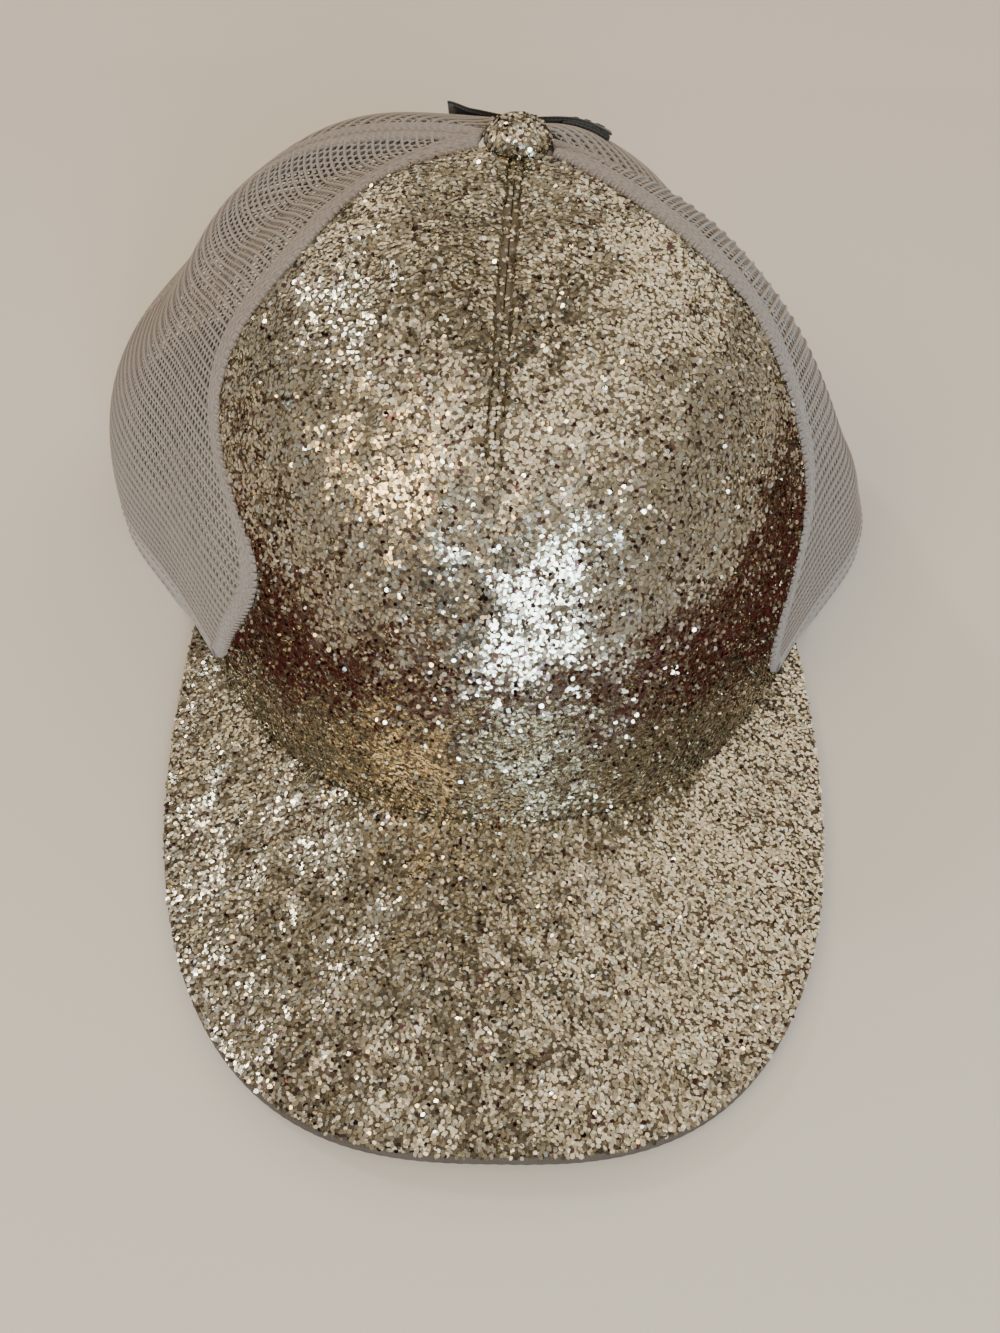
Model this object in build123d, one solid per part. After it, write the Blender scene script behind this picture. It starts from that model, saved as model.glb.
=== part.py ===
from build123d import *
import math
import os
import numpy as np

# A curved-visor trucker cap as it lies on a table, rim down: glitter fabric front panels, visor and top
# button, mesh sides and back, and a slit at the centre back that three hook-and-loop straps close.
# Millimetres, +Z up, the visor points to -Y. "Left" and "right" are -X and +X.
# The crown is one reference surface, its outer face. A place on it is an angle u, in degrees round from
# the centre front (positive towards +X), and an angle phi, from 0 at the rim to 90 at the top.
# A depth is measured inwards from that surface along its normal; a negative depth stands proud of it.

# ---- Overall sizes ----
crown_height = 118.0        # table to the top of the crown's fabric
top_shift = 12.7            # how far the top sits behind the crown's axis
front_reach = 103.0         # axis to rim at the centre front
back_reach = 83.0           # axis to rim at the centre back
brow_half_width, brow_y = 52.0, -80.5        # rim beside the forehead
temple_half_width, temple_y = 82.5, -36.0    # rim where the visor ends
ear_half_width, ear_y = 109.0, 8.5           # widest part of the splayed rim
nape_half_width, nape_y = 83.5, 67.5         # rim behind the ears
slouch_ear, slouch_height = 2.0, 5.0         # how far the soft left side hangs out: at the rim, half way up

# ---- How full the crown is at five angles: 2 is an ellipse, less is slacker, more is boxier ----
fullness_angles = (0.0, 55.0, 95.0, 140.0, 180.0)
fullness_values = (2.7, 2.9, 1.6, 1.7, 1.9)
slouch_fullness = 0.7       # added on the left side, where the mesh bellies out

# ---- Seams, in degrees round the crown ----
rim_angles = (0.0, 32.0, 62.0, 100.0, 140.0, 180.0)
front_seam_phis = (0.0, 13.5, 31.5, 58.5, 90.0)
front_seam_angles = (53.5, 45.0, 48.0, 53.5, 64.0)
back_seam_angle = 118.0

# ---- Layers of the crown ----
seam_gap = 0.15             # half the groove between two panels
layer_gap = 0.12            # room between two layers of one stack
glitter_thickness = 1.0
foam_thickness = 2.0
foam_edge = 2.5             # the foam stops this far short of each seam
mesh_thickness = 0.9
tape_thickness, tape_width = 0.6, 13.0
seam_band_width = 7.0       # folded mesh beside each front seam
hem_height, hem_thickness, hem_lift = 10.0, 1.4, 0.3
hem_visor_gap = 0.6         # the hem stands this much higher off the visor than the front panels do
sweatband_height, sweatband_thickness = 31.0, 1.1
forehead_pad_thickness, forehead_pad_height, forehead_pad_angle = 1.4, 27.0, 42.0
patch_width, patch_height, patch_thickness, patch_angle = 30.0, 18.0, 0.4, -150.0

# ---- Visor ----
visor_length = 74.0         # rim to tip at the centre front
visor_half_width = 83.0
visor_squareness = 2.75     # exponent of its outline: 2 is an ellipse
visor_arch = 10.4           # rise of the rim at the centre front
tip_rise = 4.7              # rise of the visor's tip
visor_end_angle = 58.0      # where the visor's horns end under the rim
horn_cover_angle = 2.0      # the rim stays up over the visor this far behind its horns
rim_step_angle = 7.0        # and comes down to the table over this angle
visor_cover_thickness, visor_board_thickness, visor_under_thickness = 0.9, 2.0, 0.6
visor_wrap_thickness = 0.9
visor_foot = 0.1            # the horns clear the table by this much

# ---- Slit, its bindings and the straps ----
slit_half_width = 9.0
slit_close_phi, slit_top_phi = 52.0, 80.0    # the slit narrows between these and is shut above
slit_shut_half = 0.3
binding_width, binding_thickness, binding_lift = 6.0, 1.6, 0.3
strap_width, strap_thickness, hook_thickness, loop_thickness = 18.0, 1.0, 0.6, 0.6
strap_lift = 0.45           # sewn pieces stand this far off the reference surface
hook_loop_gap = 0.35        # between the hooks and the loops when the strap lies closed
hinge_gap = 0.4             # between a strap and its sewn end
anchor_length = 12.0
patch_margin = 1.5          # a hook or loop patch is this much smaller than its strap all round
hook_length = 16.0
strap_names = ("bottom", "middle", "top")
strap_phis = (5.0, 27.0, 72.5)               # middle of each strap, up the centre back
strap_hinge_x = (15.0, 15.0, 12.0)           # from the centre line to the peeling line
strap_reach_x = (34.0, 34.0, 24.0)           # from the centre line to the free end

# ---- Top button ----
top_hole_radius = 4.0
button_radius, button_height, button_cover_thickness = 7.5, 5.5, 0.9
button_shell_thickness = 0.6
stem_radius, stem_head_thickness = 1.5, 0.6
washer_radius, washer_thickness = 9.0, 0.8
tape_stop_radius, band_stop_radius = 23.0, 12.0

panel_stack = glitter_thickness + foam_thickness + 2 * layer_gap
visor_thickness = visor_cover_thickness + visor_board_thickness + visor_under_thickness + 2 * layer_gap
hem_stack = max(hem_thickness - hem_lift, binding_thickness - binding_lift) + layer_gap
tape_start = sweatband_height + 1.0
step_start = rim_angles[2] + horn_cover_angle
on_visor = visor_thickness + visor_foot + seam_gap
bodies = {}


# ---- The reference surface ----
def cosine_series(angles, values):
    """Coefficients of the even series that passes through the values."""
    rows = [[math.cos(k * math.radians(angle)) for k in range(len(angles))] for angle in angles]
    return np.linalg.solve(rows, values)


def sine_series(angles, values):
    """Coefficients of the odd series that passes through the values."""
    rows = [[math.sin(k * math.radians(angle)) for k in range(1, len(angles) + 1)] for angle in angles]
    return np.linalg.solve(rows, values)


rim_x_terms = sine_series(rim_angles[1:-1],
                          (brow_half_width, temple_half_width, ear_half_width, nape_half_width))
rim_y_terms = cosine_series(rim_angles, (-front_reach, brow_y, temple_y, ear_y, nape_y, back_reach))
fullness_terms = cosine_series(fullness_angles, fullness_values)
seam_terms = np.polyfit(front_seam_phis, front_seam_angles, len(front_seam_phis) - 1)


def smooth_step(low, high, value):
    """0 below low, 1 above high, and a smooth rise between."""
    t = min(max((value - low) / (high - low), 0.0), 1.0)
    return t * t * (3 - 2 * t)


def slouch(u):
    """1 over the left ear and 0 from the left temple round the right side to the centre back."""
    turned = (u + 180.0) % 360.0 - 180.0
    share = min(max((-turned - rim_angles[2]) / (180.0 - rim_angles[2]), 0.0), 1.0)
    return math.sin(math.pi * share) ** 2


def wall_foot(u):
    """Where the curved wall starts: the arch of the visor's seam, carried on round the back."""
    turned = abs((u + 180.0) % 360.0 - 180.0)
    return on_visor + visor_arch * math.cos(math.pi / 2 * min(turned / rim_angles[2], 1.0)) ** 2


def rim_height(u):
    """The rim rides on the visor in front and drops straight down to the table behind its horns."""
    turned = abs((u + 180.0) % 360.0 - 180.0)
    return wall_foot(u) - on_visor * smooth_step(step_start, step_start + rim_step_angle, turned)


def fullness(u):
    a = math.radians(u)
    even = sum(term * math.cos(k * a) for k, term in enumerate(fullness_terms))
    return even + slouch_fullness * slouch(u)


def surface_point(u, phi):
    """Outer face of the crown: a superellipse rises from each place of the rim to the shared top."""
    a = math.radians(u)
    n = fullness(u)
    side, rise = max(math.cos(math.radians(phi)), 1e-9), max(math.sin(math.radians(phi)), 0.0)
    radius = (side ** n + rise ** n) ** (-1 / n)
    out, up = radius * side, radius * rise
    rim_x = sum(term * math.sin((k + 1) * a) for k, term in enumerate(rim_x_terms)) - slouch_ear * slouch(u)
    rim_y = sum(term * math.cos(k * a) for k, term in enumerate(rim_y_terms))
    lean = -slouch_height * math.sin(math.pi * up) * (1 - math.cos(a)) / 2
    foot = wall_foot(u)
    return Vector(rim_x * out + lean, rim_y * out + top_shift * up ** 2, foot + (crown_height - foot) * up)


def outward(u, phi):
    """Unit normal of the reference surface, away from the head."""
    step = 0.4
    low = max(phi - step, 0.0)
    along = surface_point(u + step, phi) - surface_point(u - step, phi)
    above = surface_point(u, min(phi + step, 89.5)) - surface_point(u, low)
    return along.cross(above).normalized()


def offset_point(u, phi, depth):
    return surface_point(u, phi) - outward(u, phi) * depth


def phi_at_height(u, z):
    """The angle phi where the wall at u has the height z."""
    foot = wall_foot(u)
    share = min(max((z - foot) / (crown_height - foot), 0.0), 0.999)
    n = fullness(u)
    return math.degrees(math.atan2(share, (1 - share ** n) ** (1 / n)))


def phi_at_radius(u, distance):
    """The angle phi where the wall at u comes this near to the top, measured in plan."""
    top = surface_point(u, 90.0)
    low, high = 40.0, 89.9
    for _ in range(24):
        middle = (low + high) / 2
        gap = surface_point(u, middle) - top
        if math.hypot(gap.X, gap.Y) > distance:
            low = middle
        else:
            high = middle
    return low


def shifted(u, phi, distance):
    """The angle u after a walk of some millimetres round the crown at phi."""
    speed = (surface_point(u + 0.5, phi) - surface_point(u - 0.5, phi)).length
    return u + distance / speed


def wall_point(u, z, depth):
    """A point of the wall at a height; below the foot of its curve the wall goes straight down."""
    foot = wall_foot(u)
    point = offset_point(u, phi_at_height(u, max(z, foot)), depth)
    return Vector(point.X, point.Y, z) if z < foot else point


# ---- Edges shared by the panels: u as a function of phi ----
def front_seam(phi):
    return float(np.polyval(seam_terms, phi))


def slit_half(phi):
    return slit_half_width - (slit_half_width - slit_shut_half) * smooth_step(slit_close_phi, slit_top_phi, phi)


def line_at(u, distance=0.0):
    """An edge that runs up the crown at a fixed distance beside the meridian u."""
    return lambda phi: shifted(u, phi, distance)


def beside_front_seam(distance):
    return lambda phi: shifted(front_seam(phi), phi, distance)


def beside_slit(distance):
    """An edge this far outside the slit's edge, on the right half."""
    return lambda phi: shifted(180.0, phi, -slit_half(phi) - distance)


def above(z):
    return lambda u: phi_at_height(u, z)


def short_of_top(distance):
    return lambda u: phi_at_radius(u, distance)


def mirrored(edge):
    return lambda phi: -edge(phi)


# ---- Builders ----
def thin_solid(grid, thickness, inwards):
    face = Face.make_surface_from_array_of_points(grid, tol=0.03, min_deg=3, max_deg=3)
    return Solid.thicken(face, thickness, normal_override=inwards)


def crown_sheet(first_edge, last_edge, bottom, top, depth, thickness, columns=13, rows=21):
    """A thin sheet of the crown between two edges, from bottom(u) to top(u)."""
    grid = []
    for i in range(columns):
        column = []
        for j in range(rows):
            share, rise = i / (columns - 1), j / (rows - 1)
            phi = 45.0
            for _ in range(8):
                u = first_edge(phi) + (last_edge(phi) - first_edge(phi)) * share
                phi = bottom(u) + (top(u) - bottom(u)) * rise
            column.append(offset_point(u, phi, depth))
        grid.append(column)
    inwards = -outward(u / 2 + first_edge(phi) / 2, 40.0)
    return thin_solid(grid, thickness, inwards)


def wall_sheet(first_u, last_u, bottom, top, depth, thickness, columns=15, rows=5):
    """A low sheet round the wall between two heights; all four are functions or numbers of u."""
    grid = []
    for i in range(columns):
        u = first_u + (last_u - first_u) * i / (columns - 1)
        low, high = bottom(u), top(u)
        heights = [low + (high - low) * j / (rows - 1) for j in range(rows)]
        grid.append([wall_point(u, z, depth(u)) for z in heights])
    middle = (first_u + last_u) / 2
    return thin_solid(grid, thickness, -outward(middle, 5.0))


def put(name, shape):
    bodies[name] = shape


def both_sides(name, build):
    """Make the right piece and its left twin; build takes an edge mapper."""
    put(f"{name}_right", build(lambda edge: edge))
    put(f"{name}_left", build(mirrored))


# ---- Crown ----
def make_front():
    def panel(side):
        return crown_sheet(side(line_at(0.0, seam_gap)), side(beside_front_seam(-seam_gap)),
                           lambda u: 0.0, short_of_top(top_hole_radius), 0.0, glitter_thickness)

    def foam(side):
        return crown_sheet(side(line_at(0.0, seam_gap)), side(beside_front_seam(-foam_edge)),
                           lambda u: 0.3, short_of_top(top_hole_radius),
                           glitter_thickness + layer_gap, foam_thickness)

    def seam_tape(side):
        return crown_sheet(side(beside_front_seam(-tape_width)), side(beside_front_seam(-foam_edge)),
                           above(tape_start), short_of_top(tape_stop_radius), panel_stack, tape_thickness)

    both_sides("front_panel", panel)
    both_sides("front_foam", foam)
    both_sides("side_seam_tape", seam_tape)
    put("centre_seam_tape", crown_sheet(line_at(0.0, -tape_width / 2), line_at(0.0, tape_width / 2),
                                        above(tape_start), short_of_top(washer_radius + 1.0),
                                        panel_stack, tape_thickness))


def make_mesh():
    mesh_foot = above(hem_height + seam_gap)

    def side_panel(side):
        return crown_sheet(side(beside_front_seam(seam_gap)), side(line_at(back_seam_angle, -seam_gap)),
                           mesh_foot, short_of_top(top_hole_radius), 0.0, mesh_thickness)

    def back_panel(side):
        return crown_sheet(side(line_at(back_seam_angle, seam_gap)),
                           side(beside_slit(binding_width + seam_gap)),
                           mesh_foot, short_of_top(button_radius), 0.0, mesh_thickness)

    def seam_band(side):
        return crown_sheet(side(beside_front_seam(seam_gap)), side(beside_front_seam(seam_band_width)),
                           mesh_foot, short_of_top(band_stop_radius),
                           mesh_thickness + layer_gap, tape_thickness, columns=5)

    def back_tape(side):
        return crown_sheet(side(line_at(back_seam_angle, -tape_width / 2)),
                           side(line_at(back_seam_angle, tape_width / 2)),
                           above(tape_start), short_of_top(tape_stop_radius),
                           mesh_thickness + layer_gap, tape_thickness, columns=5)

    def binding(side):
        return crown_sheet(side(beside_slit(0.0)), side(beside_slit(binding_width)),
                           mesh_foot, short_of_top(button_radius), -binding_lift, binding_thickness,
                           columns=5)

    both_sides("side_mesh", side_panel)
    both_sides("back_mesh", back_panel)
    both_sides("side_seam_band", seam_band)
    both_sides("back_seam_tape", back_tape)
    both_sides("slit_binding", binding)


def slit_edge_at_rim(distance):
    return beside_slit(distance)(0.0)


def make_rim():
    ground = Pos(0, 0, crown_height) * Box(1000, 1000, 2 * crown_height)
    trimmed_off = 1.0

    def hem_foot(u):
        behind = smooth_step(step_start, step_start + rim_step_angle, abs(u))
        return rim_height(u) + hem_visor_gap * (1 - behind) - trimmed_off * behind

    def hem(sign):
        first, last = sign * beside_front_seam(seam_gap)(0.0), sign * slit_edge_at_rim(0.0)
        strip = wall_sheet(first, last, hem_foot, lambda u: hem_height, lambda u: -hem_lift,
                           hem_thickness, columns=31)
        return strip & ground

    put("rim_hem_right", hem(1))
    put("rim_hem_left", hem(-1))


def sweatband_depth(u):
    """The sweatband lies on the pad and foam in front and on the hem behind."""
    front = panel_stack + forehead_pad_thickness + layer_gap
    turned = abs(u)
    return front + (hem_stack - front) * smooth_step(rim_angles[2], rim_angles[2] + 20.0, turned)


def make_sweatband():
    table_clearance = 0.4

    def foot(u):
        return max(table_clearance, rim_height(u) - visor_thickness - visor_foot)

    reach = slit_edge_at_rim(seam_gap)
    put("sweatband", wall_sheet(-reach, reach, foot, lambda u: sweatband_height, sweatband_depth,
                                sweatband_thickness, columns=61, rows=7))
    put("forehead_pad", wall_sheet(-forehead_pad_angle, forehead_pad_angle,
                                   lambda u: rim_height(u) + 1.0, lambda u: forehead_pad_height,
                                   lambda u: panel_stack, forehead_pad_thickness))
    half_angle = shifted(patch_angle, 0.0, patch_width / 2) - patch_angle
    low = (sweatband_height - patch_height) / 2
    put("inner_patch", wall_sheet(patch_angle - half_angle, patch_angle + half_angle,
                                  lambda u: low, lambda u: low + patch_height,
                                  lambda u: sweatband_depth(u) + sweatband_thickness + layer_gap,
                                  patch_thickness, columns=7))


# ---- Visor ----
def outline_point(theta, inset):
    """Outer edge of the visor's top face: half a superellipse, from horn (-90) over tip (0) to horn (90)."""
    a = math.radians(theta)
    side, ahead = abs(math.sin(a)), max(math.cos(a), 0.0)
    radius = (side ** visor_squareness + ahead ** visor_squareness) ** (-1 / visor_squareness)
    x = math.copysign((visor_half_width - inset) * radius * side, a)
    y = temple_y - (front_reach + visor_length + temple_y - inset) * radius * ahead
    return Vector(x, y, visor_foot + visor_thickness + tip_rise * ahead ** 2)


def visor_point(t, s, inset):
    """Top face of the visor: t from -1 to 1 across it, s from 0 at the rim to 1 at its edge."""
    u = t * visor_end_angle
    seam = offset_point(u, 0.0, panel_stack)
    seam = Vector(seam.X, seam.Y, rim_height(u) - seam_gap)
    return seam * (1 - s) + outline_point(t * 90.0, inset) * s


def visor_normal(t, s, inset):
    step = 0.01
    across = visor_point(min(t + step, 1), s, inset) - visor_point(max(t - step, -1), s, inset)
    ahead = visor_point(t, min(s + step, 1), inset) - visor_point(t, max(s - step, 0), inset)
    return ahead.cross(across).normalized()


def visor_layer(depth, thickness):
    inset = visor_wrap_thickness + layer_gap
    columns, rows = 41, 7
    grid = []
    for i in range(columns):
        t = -1 + 2 * i / (columns - 1)
        shares = [j / (rows - 1) for j in range(rows)]
        grid.append([visor_point(t, s, inset) - visor_normal(t, s, inset) * depth for s in shares])
    return thin_solid(grid, thickness, Vector(0, 0, -1))


def make_visor():
    board_depth = visor_cover_thickness + layer_gap
    under_depth = board_depth + visor_board_thickness + layer_gap
    put("visor_top_cover", visor_layer(0.0, visor_cover_thickness))
    put("visor_board", visor_layer(board_depth, visor_board_thickness))
    put("visor_under_cover", visor_layer(under_depth, visor_under_thickness))
    thetas = [-90.0 + 180.0 * i / 60 for i in range(61)]
    drops = [visor_thickness * j / 3 for j in range(4)]
    grid = [[outline_point(theta, 0.0) - Vector(0, 0, drop) for drop in drops] for theta in thetas]
    put("visor_edge_wrap", thin_solid(grid, visor_wrap_thickness, Vector(0, 1, 0)))


# ---- Straps ----
class StrapFrame:
    """The tangent plane of the crown where a strap crosses the centre back."""

    def __init__(self, phi):
        self.phi = phi
        self.centre = surface_point(180.0, phi)
        self.normal = outward(180.0, phi)
        self.across = Vector(1, 0, 0)
        self.up = self.across.cross(self.normal).normalized()

    def place(self, x, rise, depth):
        """The crown's point straight below a place of the tangent plane, found by Newton's method."""
        u, phi = shifted(180.0, self.phi, -x), self.phi
        step = 0.2
        for _ in range(12):
            miss = surface_point(u, phi) - self.centre
            by_u = (surface_point(u + step, phi) - surface_point(u - step, phi)) * (0.5 / step)
            by_phi = (surface_point(u, phi + step) - surface_point(u, phi - step)) * (0.5 / step)
            a, b = by_u.dot(self.across), by_phi.dot(self.across)
            c, d = by_u.dot(self.up), by_phi.dot(self.up)
            e, f = x - miss.dot(self.across), rise - miss.dot(self.up)
            u += (e * d - b * f) / (a * d - b * c)
            phi += (a * f - c * e) / (a * d - b * c)
        return offset_point(u, phi, depth)

    def sheet(self, first_x, last_x, width, lift, thickness):
        """A band across the slit; its inner face lies at the lift."""
        columns, rows = 13, 5
        outer = -(lift + thickness)
        grid = []
        for i in range(columns):
            x = first_x + (last_x - first_x) * i / (columns - 1)
            rises = [width * (j / (rows - 1) - 0.5) for j in range(rows)]
            grid.append([self.place(x, rise, outer) for rise in rises])
        return thin_solid(grid, thickness, -self.normal)


hook_lift = strap_lift + loop_thickness + hook_loop_gap
band_lift = hook_lift + hook_thickness + layer_gap
strap_top = band_lift + strap_thickness


def make_strap(name, phi, hinge_x, reach_x):
    frame = StrapFrame(phi)
    inner_width = strap_width - 2 * patch_margin
    patch_end = -reach_x + patch_margin
    put(f"{name}_strap", frame.sheet(-reach_x, hinge_x - hinge_gap / 2, strap_width, band_lift,
                                     strap_thickness))
    put(f"{name}_hook_patch", frame.sheet(patch_end, patch_end + hook_length, inner_width, hook_lift,
                                          hook_thickness))
    put(f"{name}_loop_patch", frame.sheet(patch_end, patch_end + hook_length, inner_width, strap_lift,
                                          loop_thickness))
    put(f"{name}_strap_anchor", frame.sheet(hinge_x + hinge_gap / 2, hinge_x + anchor_length, strap_width,
                                            strap_lift, strap_top - strap_lift))
    return frame.place(hinge_x, 0.0, -strap_top), -frame.up


# ---- Top button ----
def turned_solid(profile):
    """Turn a closed outline of (radius, height) pairs about the top's vertical line."""
    face = make_face(Polyline(*[(r, 0, z) for r, z in profile], close=True))
    return Pos(0, top_shift, 0) * revolve(face, Axis.Z, 360)


def dome(radius, height, base, steps=8):
    """Quarter of an ellipse from the rim of the dome to its top."""
    angles = [math.pi / 2 * i / steps for i in range(steps + 1)]
    return [(radius * math.cos(a), base + height * math.sin(a)) for a in angles]


def dome_shell(radius, height, base, wall):
    inner = dome(radius - wall, height - wall, base)
    return turned_solid(dome(radius, height, base) + inner[::-1])


def make_button():
    base = crown_height + layer_gap
    shell_radius = button_radius - button_cover_thickness - layer_gap
    shell_height = button_height - button_cover_thickness - layer_gap
    washer_top = crown_height - panel_stack - tape_thickness - layer_gap
    stem_top = base + shell_height - button_shell_thickness - 3 * layer_gap
    put("button_cover", dome_shell(button_radius, button_height, base, button_cover_thickness))
    put("button_shell", dome_shell(shell_radius, shell_height, base, button_shell_thickness))
    washer_low, washer_bore = washer_top - washer_thickness, stem_radius + layer_gap
    put("button_washer", turned_solid([(washer_bore, washer_low), (washer_radius, washer_low),
                                       (washer_radius, washer_top), (washer_bore, washer_top)]))
    head_radius, head_top = 2 * stem_radius, washer_low - layer_gap
    head_low = head_top - stem_head_thickness
    stem = [(0, head_low), (head_radius, head_low), (head_radius, head_top), (stem_radius, head_top),
            (stem_radius, stem_top), (0, stem_top)]
    put("button_stem", turned_solid(stem))


def main():
    make_front()
    make_mesh()
    make_rim()
    make_sweatband()
    make_visor()
    make_button()
    hinges = {}
    for name, phi, hinge_x, reach_x in zip(strap_names, strap_phis, strap_hinge_x, strap_reach_x):
        hinges[name] = make_strap(name, phi, hinge_x, reach_x)

    boxes = [solid.bounding_box() for solid in bodies.values()]
    low_x, high_x = min(box.min.X for box in boxes), max(box.max.X for box in boxes)
    low_y, high_y = min(box.min.Y for box in boxes), max(box.max.Y for box in boxes)
    centring = Vector(-(low_x + high_x) / 2, -(low_y + high_y) / 2, 0)
    os.makedirs("parts", exist_ok=True)
    for name, solid in bodies.items():
        export_step(Pos(centring) * solid, f"parts/{name}.step")
    print("moved by", centring, "button top", crown_height + layer_gap + button_height)
    print("size", high_x - low_x, high_y - low_y, max(box.max.Z for box in boxes))
    for name, (point, axis) in hinges.items():
        print("hinge", name, point + centring, axis)


main()
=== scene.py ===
"""A trucker cap in silver glitter fabric and grey mesh, lying rim down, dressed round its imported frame.

Shapes are worked out in millimetres from the crown's and the visor's formulas, and moved into the
frame at the end. "Left" and "right" are -X and +X, and the visor points to -Y. A place on the crown is
an angle u, in degrees round from the centre front, and an angle phi, from 0 at the rim to 90 at the top.
A depth is measured inwards from the crown's outer face, and a negative depth stands proud of it.
"""

from __future__ import annotations

import logging
import math
from dataclasses import dataclass, field
from enum import Enum
from typing import Any, Callable

import bpy
import numpy as np
from mathutils import Matrix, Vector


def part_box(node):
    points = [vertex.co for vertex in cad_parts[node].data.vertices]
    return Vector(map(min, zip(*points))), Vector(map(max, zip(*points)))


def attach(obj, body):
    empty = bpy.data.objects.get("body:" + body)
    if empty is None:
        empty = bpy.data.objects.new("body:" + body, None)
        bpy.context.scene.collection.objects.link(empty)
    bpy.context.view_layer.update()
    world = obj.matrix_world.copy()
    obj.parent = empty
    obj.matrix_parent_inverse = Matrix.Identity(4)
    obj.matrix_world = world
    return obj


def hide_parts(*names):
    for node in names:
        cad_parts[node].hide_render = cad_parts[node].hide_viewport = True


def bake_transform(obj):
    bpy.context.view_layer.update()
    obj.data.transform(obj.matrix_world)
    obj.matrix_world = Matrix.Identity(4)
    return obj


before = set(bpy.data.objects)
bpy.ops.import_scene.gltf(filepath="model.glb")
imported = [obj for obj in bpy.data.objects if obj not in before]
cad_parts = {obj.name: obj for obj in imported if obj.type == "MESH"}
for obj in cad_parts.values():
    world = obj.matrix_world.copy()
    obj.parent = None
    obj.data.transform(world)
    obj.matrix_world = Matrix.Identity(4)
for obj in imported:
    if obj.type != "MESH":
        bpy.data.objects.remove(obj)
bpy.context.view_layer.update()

MM = 0.001
SEED = 20
EVEN_STEPS = np.array([0.7548776662466927, 0.5698402909980532])    # spread points evenly over a square
LAYER_GAP = 0.12
log = logging.getLogger("cap")

Edge = Callable[[np.ndarray], np.ndarray]


class Side(Enum):
    """The two halves of the cap, with the sign of their X."""

    RIGHT = 1.0
    LEFT = -1.0

    @property
    def word(self) -> str:
        """The half's name as pieces use it."""
        return self.name.lower()


# ---- Small mathematics ----
def smooth_step(low: float, high: float, value: np.ndarray | float) -> np.ndarray:
    """0 below low, 1 above high, and a cubic rise between."""
    t = np.clip((np.asarray(value, float) - low) / (high - low), 0.0, 1.0)
    return t * t * (3 - 2 * t)


def unit(vectors: np.ndarray) -> np.ndarray:
    """Vectors of length one along the last axis."""
    return vectors / np.maximum(np.linalg.norm(vectors, axis=-1, keepdims=True), 1e-12)


def arc_lengths(points: np.ndarray, axis: int) -> np.ndarray:
    """Distance travelled along one axis of a grid of points, starting from 0.

    Args:
        points: grid of shape (rows, columns, 3).
        axis: 0 to travel up the rows, 1 to travel across the columns.

    Returns:
        Grid of distances, of shape (rows, columns).
    """
    steps = np.linalg.norm(np.diff(points, axis=axis), axis=-1)
    lead = np.zeros_like(np.take(steps, [0], axis=axis))
    return np.concatenate([lead, np.cumsum(steps, axis=axis)], axis=axis)


# ---- Meshes ----
@dataclass
class Surface:
    """Points in millimetres, faces of one or more corner counts, and thread coordinates in millimetres."""

    points: np.ndarray
    faces: list[np.ndarray]
    threads: np.ndarray | None = None
    colours: np.ndarray | None = None

    def volume(self) -> float:
        """Signed volume, from the tetrahedra that each face's fan makes with the origin."""
        total = 0.0
        centre = self.points.mean(0)
        for faces in self.faces:
            a = self.points[faces[:, 0]] - centre
            for k in range(1, faces.shape[1] - 1):
                b = self.points[faces[:, k]] - centre
                c = self.points[faces[:, k + 1]] - centre
                total += float((a * np.cross(b, c)).sum()) / 6
        return total

    def outwards(self) -> Surface:
        """The same closed surface with its faces turned to look outwards."""
        if self.volume() >= 0:
            return self
        return Surface(self.points, [f[:, ::-1] for f in self.faces], self.threads, self.colours)


def joined(surfaces: list[Surface]) -> Surface:
    """Several surfaces as one.

    Args:
        surfaces: the parts, all with thread coordinates or all without.

    Returns:
        One surface that holds every part's points and faces.
    """
    faces: list[np.ndarray] = []
    start = 0
    for part in surfaces:
        faces += [f + start for f in part.faces]
        start += len(part.points)
    threads = None
    if all(part.threads is not None for part in surfaces):
        threads = np.concatenate([part.threads for part in surfaces])
    return Surface(np.concatenate([part.points for part in surfaces]), faces, threads)


def grid_faces(rows: int, columns: int, wrap: bool = False) -> np.ndarray:
    """Quads of a grid whose points are numbered row by row.

    Args:
        rows: number of rows.
        columns: number of columns.
        wrap: whether the last column joins the first.

    Returns:
        Array of quads, of shape (count, 4).
    """
    last = columns if wrap else columns - 1
    r, c = np.meshgrid(np.arange(rows - 1), np.arange(last), indexing="ij")
    n = (c + 1) % columns
    return np.stack([r * columns + c, r * columns + n, (r + 1) * columns + n, (r + 1) * columns + c],
                    axis=-1).reshape(-1, 4)


def shell(outer: np.ndarray, inner: np.ndarray) -> Surface:
    """A closed sheet between two grids of the same shape: both faces and a wall along the four edges.

    Args:
        outer: grid of the outer face, of shape (rows, columns, 3).
        inner: grid of the inner face.

    Returns:
        The closed surface, with thread coordinates that run along rows and columns.
    """
    rows, columns = outer.shape[:2]
    count = rows * columns
    face = grid_faces(rows, columns)
    index = np.arange(count).reshape(rows, columns)
    loop = np.concatenate([index[0, :-1], index[:-1, -1], index[-1, :0:-1], index[:0:-1, 0]])
    after = np.roll(loop, -1)
    wall = np.stack([loop, loop + count, after + count, after], axis=-1)
    threads = np.stack([arc_lengths(outer, 1), arc_lengths(outer, 0)], axis=-1).reshape(-1, 2)
    return Surface(np.concatenate([outer.reshape(-1, 3), inner.reshape(-1, 3)]),
                   [face, face[:, ::-1] + count, wall], np.concatenate([threads, threads])).outwards()


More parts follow.
